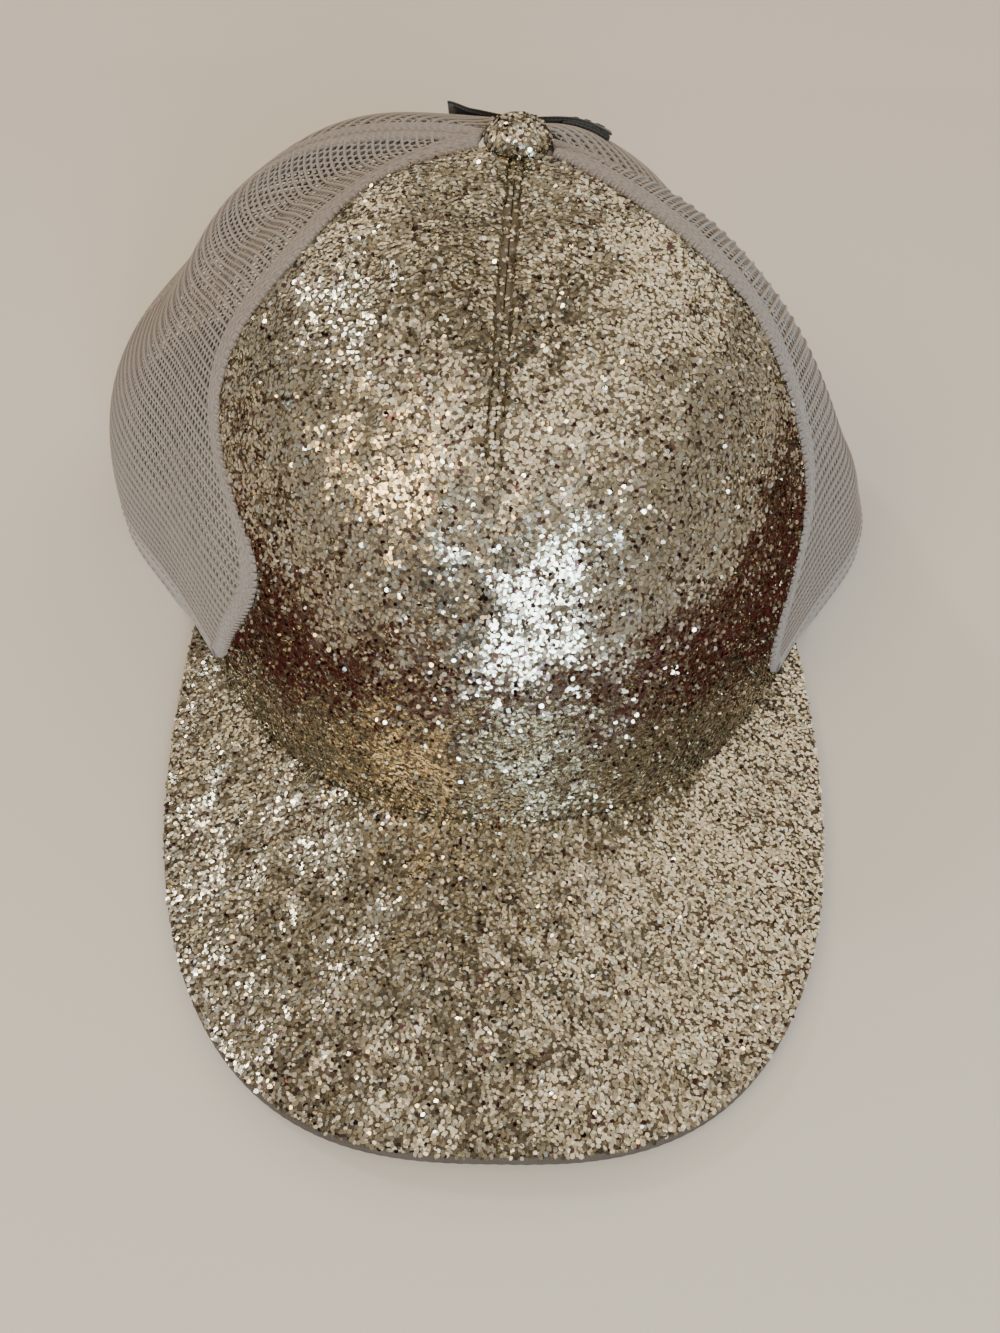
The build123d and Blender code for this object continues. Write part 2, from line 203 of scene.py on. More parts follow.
def swept(sections: np.ndarray) -> Surface:
    """A closed bar from its sections, each a closed loop of points, with flat ends.

    Args:
        sections: points of shape (stations, loop points, 3).

    Returns:
        The closed surface; thread coordinates run round the loop and along the bar.
    """
    stations, around = sections.shape[:2]
    first = np.arange(around)[None, :]
    last = first[:, ::-1] + (stations - 1) * around
    round_it = np.linalg.norm(np.roll(sections, -1, axis=1) - sections, axis=-1)
    across = np.concatenate([np.zeros((stations, 1)), np.cumsum(round_it, axis=1)[:, :-1]], axis=1)
    threads = np.stack([across, arc_lengths(sections, 0)], axis=-1).reshape(-1, 2)
    return Surface(sections.reshape(-1, 3), [grid_faces(stations, around, wrap=True), first, last],
                   threads).outwards()


def ridges(paths: np.ndarray, normals: np.ndarray, half_width: float, height: float,
           sides: int = 6) -> Surface:
    """Many yarns at once: an ellipse of the given half width and height carried along each path.

    Args:
        paths: middles of the yarns, of shape (yarns, stations, 3).
        normals: direction of the height at each of them.
        half_width: half the yarn's width.
        height: half the yarn's height.
        sides: corners of the ellipse.

    Returns:
        All the yarns as one surface, closed at their ends.
    """
    yarns, stations = paths.shape[:2]
    tangents = unit(np.gradient(paths, axis=1))
    across = unit(np.cross(tangents, normals))
    upright = np.cross(across, tangents)
    turn = np.linspace(0, 2 * np.pi, sides, endpoint=False)
    ring = (across[:, :, None] * (half_width * np.cos(turn))[:, None]
            + upright[:, :, None] * (height * np.sin(turn))[:, None])
    points = (paths[:, :, None] + ring).reshape(-1, 3)
    step = stations * sides
    starts = (np.arange(yarns) * step)[:, None, None]
    body = (grid_faces(stations, sides, wrap=True)[None] + starts).reshape(-1, 4)
    cap = np.arange(sides)[None, None]
    first = (cap[:, :, ::-1] + starts).reshape(-1, sides)
    last = (cap + starts + step - sides).reshape(-1, sides)
    along = np.repeat(np.concatenate([arc_lengths(p[:, None], 0) for p in paths]), sides, axis=1)
    threads = np.stack([along.ravel(), np.tile(turn * half_width, yarns * stations)], axis=-1)
    surface = Surface(points, [body, first, last], threads)
    return surface.outwards()


def stitch_run(path: np.ndarray, normals: np.ndarray, pitch: float, length: float,
               radius: float) -> Surface:
    """A row of stitches: short yarns, high in the middle and sunk at their ends, evenly along a path.

    Args:
        path: points of the seam, of shape (count, 3).
        normals: outward normals there.
        pitch: from one stitch to the next.
        length: visible length of a stitch.
        radius: thread radius.

    Returns:
        The stitches as one surface.
    """
    travelled = arc_lengths(path[:, None], 0)[:, 0]
    count = max(int(travelled[-1] / pitch), 1)
    middles = (np.arange(count) + 0.5) * travelled[-1] / count
    share = np.array([-0.5, -0.36, 0.0, 0.36, 0.5])
    where = middles[:, None] + share * length
    points = np.stack([np.interp(where, travelled, path[:, k]) for k in range(3)], axis=-1)
    facing = unit(np.stack([np.interp(where, travelled, normals[:, k]) for k in range(3)], axis=-1))
    lift = radius * np.array([-1.0, 0.35, 0.75, 0.35, -1.0])
    return ridges(points + facing * lift[:, None], facing, radius, radius * 0.9, sides=6)


def to_linear(code: str) -> tuple[float, float, float, float]:
    """A colour written as an sRGB hex value, in linear light with alpha 1."""
    shares = np.array([int(code[k:k + 2], 16) for k in (1, 3, 5)]) / 255
    linear = np.where(shares <= 0.04045, shares / 12.92, ((shares + 0.055) / 1.055) ** 2.4)
    return (float(linear[0]), float(linear[1]), float(linear[2]), 1.0)


def add_node(tree: bpy.types.NodeTree, kind: str, inputs: dict[Any, Any] | None = None,
             **settings: Any) -> bpy.types.Node:
    """Add a node, set its options, and give each input a value or a link.

    Args:
        tree: the node tree.
        kind: Blender's type name of the node.
        inputs: values or output sockets by input name or number.
        settings: options of the node itself.

    Returns:
        The new node.
    """
    node = tree.nodes.new(kind)
    for option, value in settings.items():
        setattr(node, option, value)
    for key, value in (inputs or {}).items():
        if isinstance(value, bpy.types.NodeSocket):
            tree.links.new(value, node.inputs[key])
        else:
            node.inputs[key].default_value = value
    return node


def new_material(name: str, **values: Any) -> tuple[bpy.types.Material, bpy.types.Node]:
    """A node material with one Principled shader.

    Args:
        name: the material's name.
        values: shader inputs that are the same all over, with spaces written as underscores.

    Returns:
        The material and its shader node.
    """
    material = bpy.data.materials.new(name)
    material.use_nodes = True
    shader = next(n for n in material.node_tree.nodes if n.type == "BSDF_PRINCIPLED")
    for key, value in values.items():
        shader.inputs[key.replace("_", " ")].default_value = value
    return material, shader


class Weave(Enum):
    """How the threads of a cloth cross."""

    PLAIN = "plain"
    TWILL = "twill"
    RIB = "rib"
    WEBBING = "webbing"
    NAPPED = "napped"


@dataclass(frozen=True)
class ClothFinish:
    """A woven or knitted cloth, its threads a bump and a shade on the piece's own thread coordinates."""

    name: str
    light: str
    dark: str
    weave: Weave
    thread: float                # mm from one thread to the next
    relief: float = 0.12         # mm from the valleys to the tops of the threads
    roughness: float = 0.78
    sheen: float = 0.25
    patch: float = 22.0          # mm across the faint uneven patches
    unevenness: float = 0.25
    metal: float = 0.0

    def material(self) -> bpy.types.Material:
        """Threads as sines of the thread coordinates, crossed as the weave says, over soft patches."""
        found = bpy.data.materials.get(self.name)
        if found:
            return found
        material, shader = new_material(self.name, Roughness=self.roughness, Sheen_Weight=self.sheen,
                                        Sheen_Roughness=0.5, Metallic=self.metal)
        tree = material.node_tree
        uv = add_node(tree, "ShaderNodeUVMap", uv_map="threads")
        parts = add_node(tree, "ShaderNodeSeparateXYZ", {0: uv.outputs[0]})
        turn = 2 * math.pi / self.thread
        stretch = {Weave.WEBBING: 0.42, Weave.RIB: 0.5}.get(self.weave, 1.0)
        across = add_node(tree, "ShaderNodeMath", {0: parts.outputs[0], 1: turn}, operation="MULTIPLY")
        along = add_node(tree, "ShaderNodeMath", {0: parts.outputs[1], 1: turn * stretch},
                         operation="MULTIPLY")
        if self.weave in (Weave.TWILL, Weave.WEBBING):
            diagonal = add_node(tree, "ShaderNodeMath", {0: across.outputs[0], 1: along.outputs[0]},
                                operation="ADD")
            wave = add_node(tree, "ShaderNodeMath", {0: diagonal.outputs[0]}, operation="SINE")
        else:
            first = add_node(tree, "ShaderNodeMath", {0: across.outputs[0]}, operation="SINE")
            second = add_node(tree, "ShaderNodeMath", {0: along.outputs[0]}, operation="SINE")
            wave = add_node(tree, "ShaderNodeMath", {0: first.outputs[0], 1: second.outputs[0]},
                            operation="MULTIPLY")
        raised = add_node(tree, "ShaderNodeMapRange", {0: wave.outputs[0], 1: -1.0, 2: 1.0})
        place = add_node(tree, "ShaderNodeTexCoord")
        fuzz = add_node(tree, "ShaderNodeTexNoise", {"Vector": place.outputs["Object"],
                                                     "Scale": 1 / (self.thread * 0.8 * MM), "Detail": 3.0})
        patches = add_node(tree, "ShaderNodeTexNoise", {"Vector": place.outputs["Object"],
                                                        "Scale": 1 / (self.patch * MM), "Detail": 2.0})
        body = 0.15 if self.weave is Weave.NAPPED else 0.65
        height = add_node(tree, "ShaderNodeMix", {0: 1 - body, 2: raised.outputs[0], 3: fuzz.outputs[0]})
        shade = add_node(tree, "ShaderNodeMix", {0: self.unevenness, 2: height.outputs[0],
                                                 3: patches.outputs[0]})
        colour = add_node(tree, "ShaderNodeMix", {0: shade.outputs[0], 6: to_linear(self.dark),
                                                  7: to_linear(self.light)}, data_type="RGBA")
        bump = add_node(tree, "ShaderNodeBump", {"Height": height.outputs[0], "Strength": 0.8,
                                                 "Distance": self.relief * MM})
        tree.links.new(colour.outputs[2], shader.inputs["Base Color"])
        tree.links.new(bump.outputs[0], shader.inputs["Normal"])
        return material


@dataclass(frozen=True)
class FlakeFinish:
    """Vacuum-metallised polyester glitter: mirror-flat hexagons, each with its own tint; the plum tint is a
    painted reflection.
    """

    name: str = "metallised_polyester_glitter"
    roughness: float = 0.2

    def material(self) -> bpy.types.Material:
        """A smooth metal whose tint comes from the flake's colour attribute; for the plum flakes that colour
        is a painted reflection.
        """
        found = bpy.data.materials.get(self.name)
        if found:
            return found
        material, shader = new_material(self.name, Metallic=1.0, Roughness=self.roughness)
        tree = material.node_tree
        tint = add_node(tree, "ShaderNodeAttribute", attribute_name="tint")
        tree.links.new(tint.outputs["Color"], shader.inputs["Base Color"])
        return material


@dataclass(frozen=True)
class HardFinish:
    """A moulded or pressed part: a base colour broken by fine grain and faint wear."""

    name: str
    light: str
    dark: str
    metal: float
    roughness: float
    grain: float = 0.4           # mm across a grain of the surface
    relief: float = 0.02

    def material(self) -> bpy.types.Material:
        """Two tints mixed by fine noise, with the same noise as a shallow bump."""
        material, shader = new_material(self.name, Metallic=self.metal, Roughness=self.roughness)
        tree = material.node_tree
        place = add_node(tree, "ShaderNodeTexCoord")
        grain = add_node(tree, "ShaderNodeTexNoise", {"Vector": place.outputs["Object"],
                                                      "Scale": 1 / (self.grain * MM), "Detail": 4.0})
        colour = add_node(tree, "ShaderNodeMix", {0: grain.outputs[0], 6: to_linear(self.dark),
                                                  7: to_linear(self.light)}, data_type="RGBA")
        bump = add_node(tree, "ShaderNodeBump", {"Height": grain.outputs[0], "Strength": 0.5,
                                                 "Distance": self.relief * MM})
        tree.links.new(colour.outputs[2], shader.inputs["Base Color"])
        tree.links.new(bump.outputs[0], shader.inputs["Normal"])
        return material


# Woven polyester that carries the glitter, stiff with clear glue: a dark warm grey between the flakes.
BACKING = ClothFinish("glued_polyester_backing", "#7D6F58", "#3B3129", Weave.PLAIN, 0.9, 0.2, 0.55, 0.0,
                      9.0, 0.5, 0.25)
FLAKES = FlakeFinish()
# Warp-knitted polyester tulle of a trucker cap: matt warm grey filament yarns with a faint lustre.
TULLE = ClothFinish("warp_knit_polyester_mesh", "#A89F99", "#6E6662", Weave.RIB, 0.5, 0.08, 0.5, 0.25,
                    30.0, 0.35)
FOLDED_TULLE = ClothFinish("folded_warp_knit_mesh", "#9C928C", "#625A56", Weave.PLAIN, 1.9, 0.3, 0.68, 0.3,
                           14.0, 0.25)
HEM_CLOTH = ClothFinish("plain_woven_polyester_hem", "#A69B95", "#7A706B", Weave.PLAIN, 0.45, 0.08, 0.7,
                        0.3, 18.0, 0.3)
TAPE = ClothFinish("twill_polyester_seam_tape", "#9A9490", "#6B6663", Weave.TWILL, 0.7)
SWEAT_TWILL = ClothFinish("brushed_cotton_twill", "#BDB5AC", "#8D857D", Weave.TWILL, 0.8, 0.12, 0.9, 0.4)
SATIN = ClothFinish("woven_polyester_satin", "#D8D5D0", "#A9A5A0", Weave.RIB, 0.3, 0.03, 0.35, 0.5)
UNDER_CLOTH = ClothFinish("polyester_twill_under_visor", "#9B928B", "#6C645E", Weave.TWILL, 0.7)
EDGE_CLOTH = ClothFinish("glued_glitter_cloth_edge", "#6B6055", "#2E2823", Weave.PLAIN, 0.8, 0.25, 0.6,
                         0.1, 6.0, 0.4, 0.2)
WEBBING = ClothFinish("black_nylon_webbing", "#2B2B2D", "#0B0B0C", Weave.WEBBING, 1.1, 0.18, 0.55, 0.3)
HOOK_TAPE = ClothFinish("moulded_nylon_hook_tape", "#232325", "#0C0C0D", Weave.PLAIN, 0.9, 0.1, 0.45, 0.1)
LOOP_TAPE = ClothFinish("napped_nylon_loop_tape", "#2A2A2C", "#0D0D0E", Weave.NAPPED, 0.5, 0.25, 0.85, 0.5)
THREAD = ClothFinish("spun_polyester_thread", "#A79C96", "#6F6661", Weave.TWILL, 0.25, 0.04, 0.6, 0.3)
BLACK_THREAD = ClothFinish("black_bonded_nylon_thread", "#3A3A3C", "#141415", Weave.TWILL, 0.25, 0.04,
                           0.5, 0.2)
FOAM = ClothFinish("open_cell_polyurethane_foam", "#E9E5DB", "#B9B3A6", Weave.NAPPED, 0.6, 0.35, 0.95, 0.1)
PAD_CLOTH = ClothFinish("brushed_tricot_pad", "#B4ADA5", "#8A837B", Weave.NAPPED, 0.5, 0.15, 0.9, 0.4)
BOARD = HardFinish("extruded_polyethylene_board", "#D9D9D4", "#C4C4BE", 0.0, 0.45)
STEEL = HardFinish("pressed_tinned_steel", "#C9C8C4", "#A7A6A2", 1.0, 0.3, 0.3, 0.01)


@dataclass
class Maker:
    """Puts finished surfaces into the scene, in the frame, lets each ride on its body and hides the CAD
    nodes that it replaces.
    """

    shift: np.ndarray            # mm from the formulas' origin to the frame's

    def piece(self, name: str, surface: Surface, finish: ClothFinish | FlakeFinish, slot: str,
              body: str = "cap", stands_for: tuple[str, ...] = (), smooth: bool = True) -> bpy.types.Object:
        """Make a mesh object and let it ride on a body.

        Args:
            name: the piece's name.
            surface: its shape in millimetres.
            finish: its finish.
            slot: not used.
            body: the body that it moves with.
            stands_for: the CAD nodes that it replaces.
            smooth: whether its shading runs over its edges.

        Returns:
            The new object.
        """
        mesh = self.mesh(name, surface, smooth)
        mesh.materials.append(finish.material())
        thing = bpy.data.objects.new(name, mesh)
        bpy.context.scene.collection.objects.link(thing)
        if body:
            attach(thing, body)
        if stands_for:
            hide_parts(*stands_for)
        log.info("%s: %d faces", name, len(mesh.polygons))
        return thing

    def mesh(self, name: str, surface: Surface, smooth: bool) -> bpy.types.Mesh:
        """A Blender mesh of a surface, with its thread coordinates as UVs and its tints as an attribute.

        Args:
            name: the mesh's name.
            surface: the shape in millimetres.
            smooth: whether shading runs over the edges.

        Returns:
            The mesh, in metres.
        """
        points = (surface.points + self.shift) * MM
        corners = np.concatenate([f.ravel() for f in surface.faces])
        sizes = np.concatenate([np.full(len(f), f.shape[1]) for f in surface.faces])
        starts = np.concatenate([[0], np.cumsum(sizes)[:-1]])
        mesh = bpy.data.meshes.new(name)
        mesh.vertices.add(len(points))
        mesh.vertices.foreach_set("co", points.astype(np.float32).ravel())
        mesh.loops.add(len(corners))
        mesh.loops.foreach_set("vertex_index", corners.astype(np.int32))
        mesh.polygons.add(len(sizes))
        mesh.polygons.foreach_set("loop_start", starts.astype(np.int32))
        mesh.polygons.foreach_set("use_smooth", np.full(len(sizes), smooth))
        mesh.update(calc_edges=True)
        if surface.threads is not None:
            layer = mesh.uv_layers.new(name="threads")
            layer.data.foreach_set("uv", surface.threads[corners].astype(np.float32).ravel())
        if surface.colours is not None:
            tint = mesh.color_attributes.new("tint", "FLOAT_COLOR", "POINT")
            tint.data.foreach_set("color", surface.colours.astype(np.float32).ravel())
        mesh.validate()
        return mesh


# ---- The crown ----
@dataclass(frozen=True)
class Bump:
    """A rounded rise of the soft mesh about one place of the crown, or a hollow where it is negative."""

    u: float
    phi: float
    u_spread: float
    phi_spread: float
    height: float                # mm
    mirrored: bool = False       # the same on both sides

    def at(self, u: np.ndarray, phi: np.ndarray) -> np.ndarray:
        """Its height at given angles, with u from -180 to 180."""
        away = (np.abs(u) if self.mirrored else u) - self.u
        return self.height * np.exp(-(away / self.u_spread) ** 2 - ((phi - self.phi) / self.phi_spread) ** 2)


@dataclass(frozen=True)
class SeamPull:
    """How the limp mesh draws one front seam aside: bells along it, and a drift towards the top."""

    bells: tuple[tuple[float, float, float, float], ...]    # phi, spread below, spread above, degrees
    drift: tuple[float, float, float]                       # first phi, last phi, degrees

    def turn(self, phi: np.ndarray) -> np.ndarray:
        """Degrees away from the centre front at each phi."""
        first, last, angle = self.drift
        total = angle * smooth_step(first, last, phi)
        for middle, below, above, most in self.bells:
            spread = np.where(phi < middle, below, above)
            total = total + most * np.exp(-((phi - middle) / spread) ** 2)
        return total


BUMPS = (Bump(96.0, 14.0, 16.0, 9.0, 1.5), Bump(-120.0, 37.0, 24.0, 12.5, -8.0),
         Bump(132.0, 54.0, 18.0, 8.0, -2.6, mirrored=True),
         Bump(180.0, 69.0, 26.0, 8.0, -2.34, mirrored=True))
SEAM_PULLS = {Side.LEFT: SeamPull(((27.0, 11.0, 6.5, -10.8), (42.0, 8.0, 8.0, 2.5)), (54.0, 80.0, 15.0)),
              Side.RIGHT: SeamPull(((27.0, 13.0, 13.0, 7.0),), (46.0, 68.0, -5.0))}


@dataclass
class CrownShape:
    """The crown's outer face, with the seams that divide it.

    From each place of the rim a superellipse rises to the shared top: with n the fullness there,
    out = cos(phi) / (cos^n + sin^n)^(1/n) shrinks the rim's plan, and up, the same of the sine, is the
    share of the height. The rim's x and y are sine and cosine series of u through a few stations.
    """

    height: float
    top_shift: float = 12.7
    rim_angles: tuple[float, ...] = (0.0, 32.0, 62.0, 100.0, 140.0, 180.0)
    rim_x: tuple[float, ...] = (52.0, 82.5, 109.0, 83.5)
    rim_y: tuple[float, ...] = (-103.0, -80.5, -36.0, 8.5, 67.5, 83.0)
    fullness_angles: tuple[float, ...] = (0.0, 55.0, 95.0, 140.0, 180.0)
    fullness_values: tuple[float, ...] = (2.7, 2.9, 1.6, 1.7, 1.9)
    slouch_fullness: float = 0.7
    slouch_ear: float = 2.0
    slouch_height: float = 5.0
    seam_phis: tuple[float, ...] = (0.0, 13.5, 31.5, 58.5, 90.0)
    seam_angles: tuple[float, ...] = (53.5, 45.0, 48.0, 53.5, 64.0)
    back_seam: float = 118.0
    on_visor: float = 3.99
    arch: float = 10.4
    step_start: float = 64.0
    step_angle: float = 7.0
    slit_half_width: float = 9.0
    slit_shut_half: float = 0.3
    slit_close: tuple[float, float] = (52.0, 80.0)
    centre_bow: tuple[float, float, float] = (18.0, 48.0, -3.0)    # first phi, last phi, degrees
    ripple: float = 0.6          # mm of soft waves in the mesh
    x_terms: np.ndarray = field(init=False)
    y_terms: np.ndarray = field(init=False)
    fullness_terms: np.ndarray = field(init=False)
    seam_terms: np.ndarray = field(init=False)

    def __post_init__(self) -> None:
        """Solve the series through their stations."""
        inner = np.radians(self.rim_angles[1:-1])
        every = np.radians(self.rim_angles)
        full = np.radians(self.fullness_angles)
        self.x_terms = np.linalg.solve(np.sin(np.outer(inner, np.arange(1, len(inner) + 1))), self.rim_x)
        self.y_terms = np.linalg.solve(np.cos(np.outer(every, np.arange(len(every)))), self.rim_y)
        self.fullness_terms = np.linalg.solve(np.cos(np.outer(full, np.arange(len(full)))),
                                              self.fullness_values)
        self.seam_terms = np.polyfit(self.seam_phis, self.seam_angles, len(self.seam_phis) - 1)

    def slouch(self, u: np.ndarray) -> np.ndarray:
        """1 over the left ear and 0 from the left temple round the right side to the centre back."""
        turned = (u + 180.0) % 360.0 - 180.0
        share = np.clip((-turned - self.rim_angles[2]) / (180.0 - self.rim_angles[2]), 0.0, 1.0)
        return np.sin(np.pi * share) ** 2

    def wall_foot(self, u: np.ndarray) -> np.ndarray:
        """Where the curved wall starts: the arch of the visor's seam, carried on round the back."""
        turned = np.abs((u + 180.0) % 360.0 - 180.0)
        quarter = np.pi / 2 * np.minimum(turned / self.rim_angles[2], 1)
        return self.on_visor + self.arch * np.cos(quarter) ** 2

    def behind(self, u: np.ndarray) -> np.ndarray:
        """0 over the visor and 1 behind its horns, where the rim stands on the table."""
        turned = np.abs((u + 180.0) % 360.0 - 180.0)
        return smooth_step(self.step_start, self.step_start + self.step_angle, turned)

    def rim_height(self, u: np.ndarray) -> np.ndarray:
        """Height of the crown's lower edge."""
        return self.wall_foot(u) - self.on_visor * self.behind(u)

    def face(self, u: np.ndarray, phi: np.ndarray) -> np.ndarray:
        """Points of the outer face, by the formula of the class."""
        a, angle = np.radians(u), np.radians(phi)
        even = sum(term * np.cos(k * a) for k, term in enumerate(self.fullness_terms))
        n = even + self.slouch_fullness * self.slouch(u)
        side, rise = np.maximum(np.cos(angle), 1e-9), np.maximum(np.sin(angle), 0.0)
        radius = (side ** n + rise ** n) ** (-1 / n)
        out, up = radius * side, radius * rise
        x = sum(term * np.sin((k + 1) * a) for k, term in enumerate(self.x_terms))
        y = sum(term * np.cos(k * a) for k, term in enumerate(self.y_terms))
        lean = -self.slouch_height * np.sin(np.pi * up) * (1 - np.cos(a)) / 2
        foot = self.wall_foot(u)
        return np.stack([(x - self.slouch_ear * self.slouch(u)) * out + lean,
                         y * out + self.top_shift * up ** 2, foot + (self.height - foot) * up], axis=-1)

    def normal(self, u: np.ndarray, phi: np.ndarray) -> np.ndarray:
        """Outward unit normals, from steps along and up the face."""
        step = 0.4
        along = self.face(u + step, phi) - self.face(u - step, phi)
        above = self.face(u, np.minimum(phi + step, 89.5)) - self.face(u, np.maximum(phi - step, 0.0))
        return unit(np.cross(along, above))

    def give(self, u: np.ndarray, phi: np.ndarray) -> np.ndarray:
        """How far the limp mesh hangs out (or, where negative, is sunk) from its cut shape, in mm."""
        turned, phi = (np.asarray(u, float) + 180.0) % 360.0 - 180.0, np.asarray(phi, float)
        free = smooth_step(56.0, 76.0, np.abs(turned)) * smooth_step(5.0, 22.0, phi)
        waves = np.sin(np.radians(turned * 7 + phi * 3)) * np.sin(np.radians(phi * 5 + turned * 2))
        return free * (sum(bump.at(turned, phi) for bump in BUMPS) + self.ripple * waves)

    def point(self, u: np.ndarray, phi: np.ndarray, depth: np.ndarray | float = 0.0) -> np.ndarray:
        """Points at a depth below the outer face.

        Args:
            u: angles round from the centre front.
            phi: angles up from the rim.
            depth: distance inwards along the normal.

        Returns:
            Points with a last axis of three.
        """
        u, phi = np.broadcast_arrays(np.asarray(u, float), np.asarray(phi, float))
        stand = self.give(u, phi) - depth
        return self.face(u, phi) + self.normal(u, phi) * np.asarray(stand)[..., None]

    def phi_at_height(self, u: np.ndarray, z: np.ndarray | float) -> np.ndarray:
        """The angle phi where the wall at u has the height z, by the superellipse solved for the angle."""
        a = np.radians(u)
        n = sum(term * np.cos(k * a) for k, term in enumerate(self.fullness_terms))
        n = n + self.slouch_fullness * self.slouch(u)
        foot = self.wall_foot(u)
        share = np.clip((z - foot) / (self.height - foot), 0.0, 0.999)
        return np.degrees(np.arctan2(share, (1 - share ** n) ** (1 / n)))

    def phi_at_radius(self, u: np.ndarray, distance: float) -> np.ndarray:
        """The angle phi where the wall at u comes this near to the top, seen from above, by halving."""
        top = np.array([0.0, self.top_shift])
        low, high = np.full(np.shape(u), 40.0), np.full(np.shape(u), 89.9)
        for _ in range(24):
            middle = (low + high) / 2
            far = np.linalg.norm(self.face(u, middle)[..., :2] - top, axis=-1) > distance
            low, high = np.where(far, middle, low), np.where(far, high, middle)
        return low

    def speed(self, u: np.ndarray, phi: np.ndarray) -> np.ndarray:
        """Millimetres per degree of u."""
        return np.linalg.norm(self.face(u + 0.5, phi) - self.face(u - 0.5, phi), axis=-1)

    def shifted(self, u: np.ndarray, phi: np.ndarray, distance: np.ndarray | float) -> np.ndarray:
        """The angle u after a walk of some millimetres round the crown at phi."""
        return u + distance / self.speed(np.asarray(u, float) + 0 * phi, phi)

    def front_seam(self, phi: np.ndarray, side: Side) -> np.ndarray:
        """Where a front seam lies: the pattern's line, pulled aside by the limp mesh."""
        return np.polyval(self.seam_terms, phi) + SEAM_PULLS[side].turn(phi)

    def beside_front_seam(self, distance: float, side: Side) -> Edge:
        """The edge that runs this far behind a front seam."""
        return lambda phi: self.shifted(self.front_seam(phi, side), phi, distance)

    def centre_seam(self, phi: np.ndarray) -> np.ndarray:
        """Where the centre seam lies: it bows a little to the left towards the top."""
        first, last, angle = self.centre_bow
        return angle * smooth_step(first, last, phi)

    def beside_centre_seam(self, distance: float, side: Side) -> Edge:
        """The edge this far beside the centre seam, on one side."""
        return lambda phi: self.shifted(side.value * self.centre_seam(phi), phi, distance)

    def beside_meridian(self, u: float, distance: float = 0.0) -> Edge:
        """The edge that runs this far beside a meridian."""
        return lambda phi: self.shifted(u, phi, distance)

    def slit_half(self, phi: np.ndarray) -> np.ndarray:
        """Half the width of the slit."""
        low, high = self.slit_close
        closed = self.slit_half_width - self.slit_shut_half
        return self.slit_half_width - closed * smooth_step(low, high, phi)

    def beside_slit(self, distance: float) -> Edge:
        """The edge this far outside the slit's right edge."""
        return lambda phi: self.shifted(180.0, phi, -self.slit_half(phi) - distance)

    def above(self, z: float) -> Edge:
        """The angle phi at a height, as a function of u."""
        return lambda u: self.phi_at_height(u, z)

    def short_of_top(self, distance: float) -> Edge:
        """The angle phi at a distance from the top, as a function of u."""
        return lambda u: self.phi_at_radius(u, distance)

    def strip(self, first: Edge, last: Edge, low: Edge, high: Edge, columns: int, rows: int,
              side: Side = Side.RIGHT, warp: float = 1.0) -> tuple[np.ndarray, np.ndarray]:
        """Angles over a strip between two edges that run up and two that run across.

        Args:
            first: u of the edge nearer the front, on the right half.
            last: u of the edge further back.
            low: phi of the lower edge, as a function of the true u.
            high: phi of the upper edge.
            columns: points across.
            rows: points up.
            side: the half of the crown.
            warp: above 1, the columns crowd towards the first edge.

        Returns:
            Grids of u and phi, of shape (rows, columns).
        """
        share = np.linspace(0, 1, columns)[None, :] ** warp
        rise = np.linspace(0, 1, rows)[:, None]
        phi = np.full((rows, columns), 45.0)
        u = phi
        for _ in range(8):
            u = side.value * (first(phi) + (last(phi) - first(phi)) * share)
            phi = low(u) + (high(u) - low(u)) * rise
        return u, phi

    def wall_point(self, u: np.ndarray, z: np.ndarray, depth: np.ndarray | float) -> np.ndarray:
        """Points of the wall at given heights; below the foot of its curve the wall goes straight down."""
        foot = self.wall_foot(u)
        point = self.point(u, self.phi_at_height(u, np.maximum(z, foot)), depth)
        point[..., 2] = np.where(z < foot, z, point[..., 2])
        return point


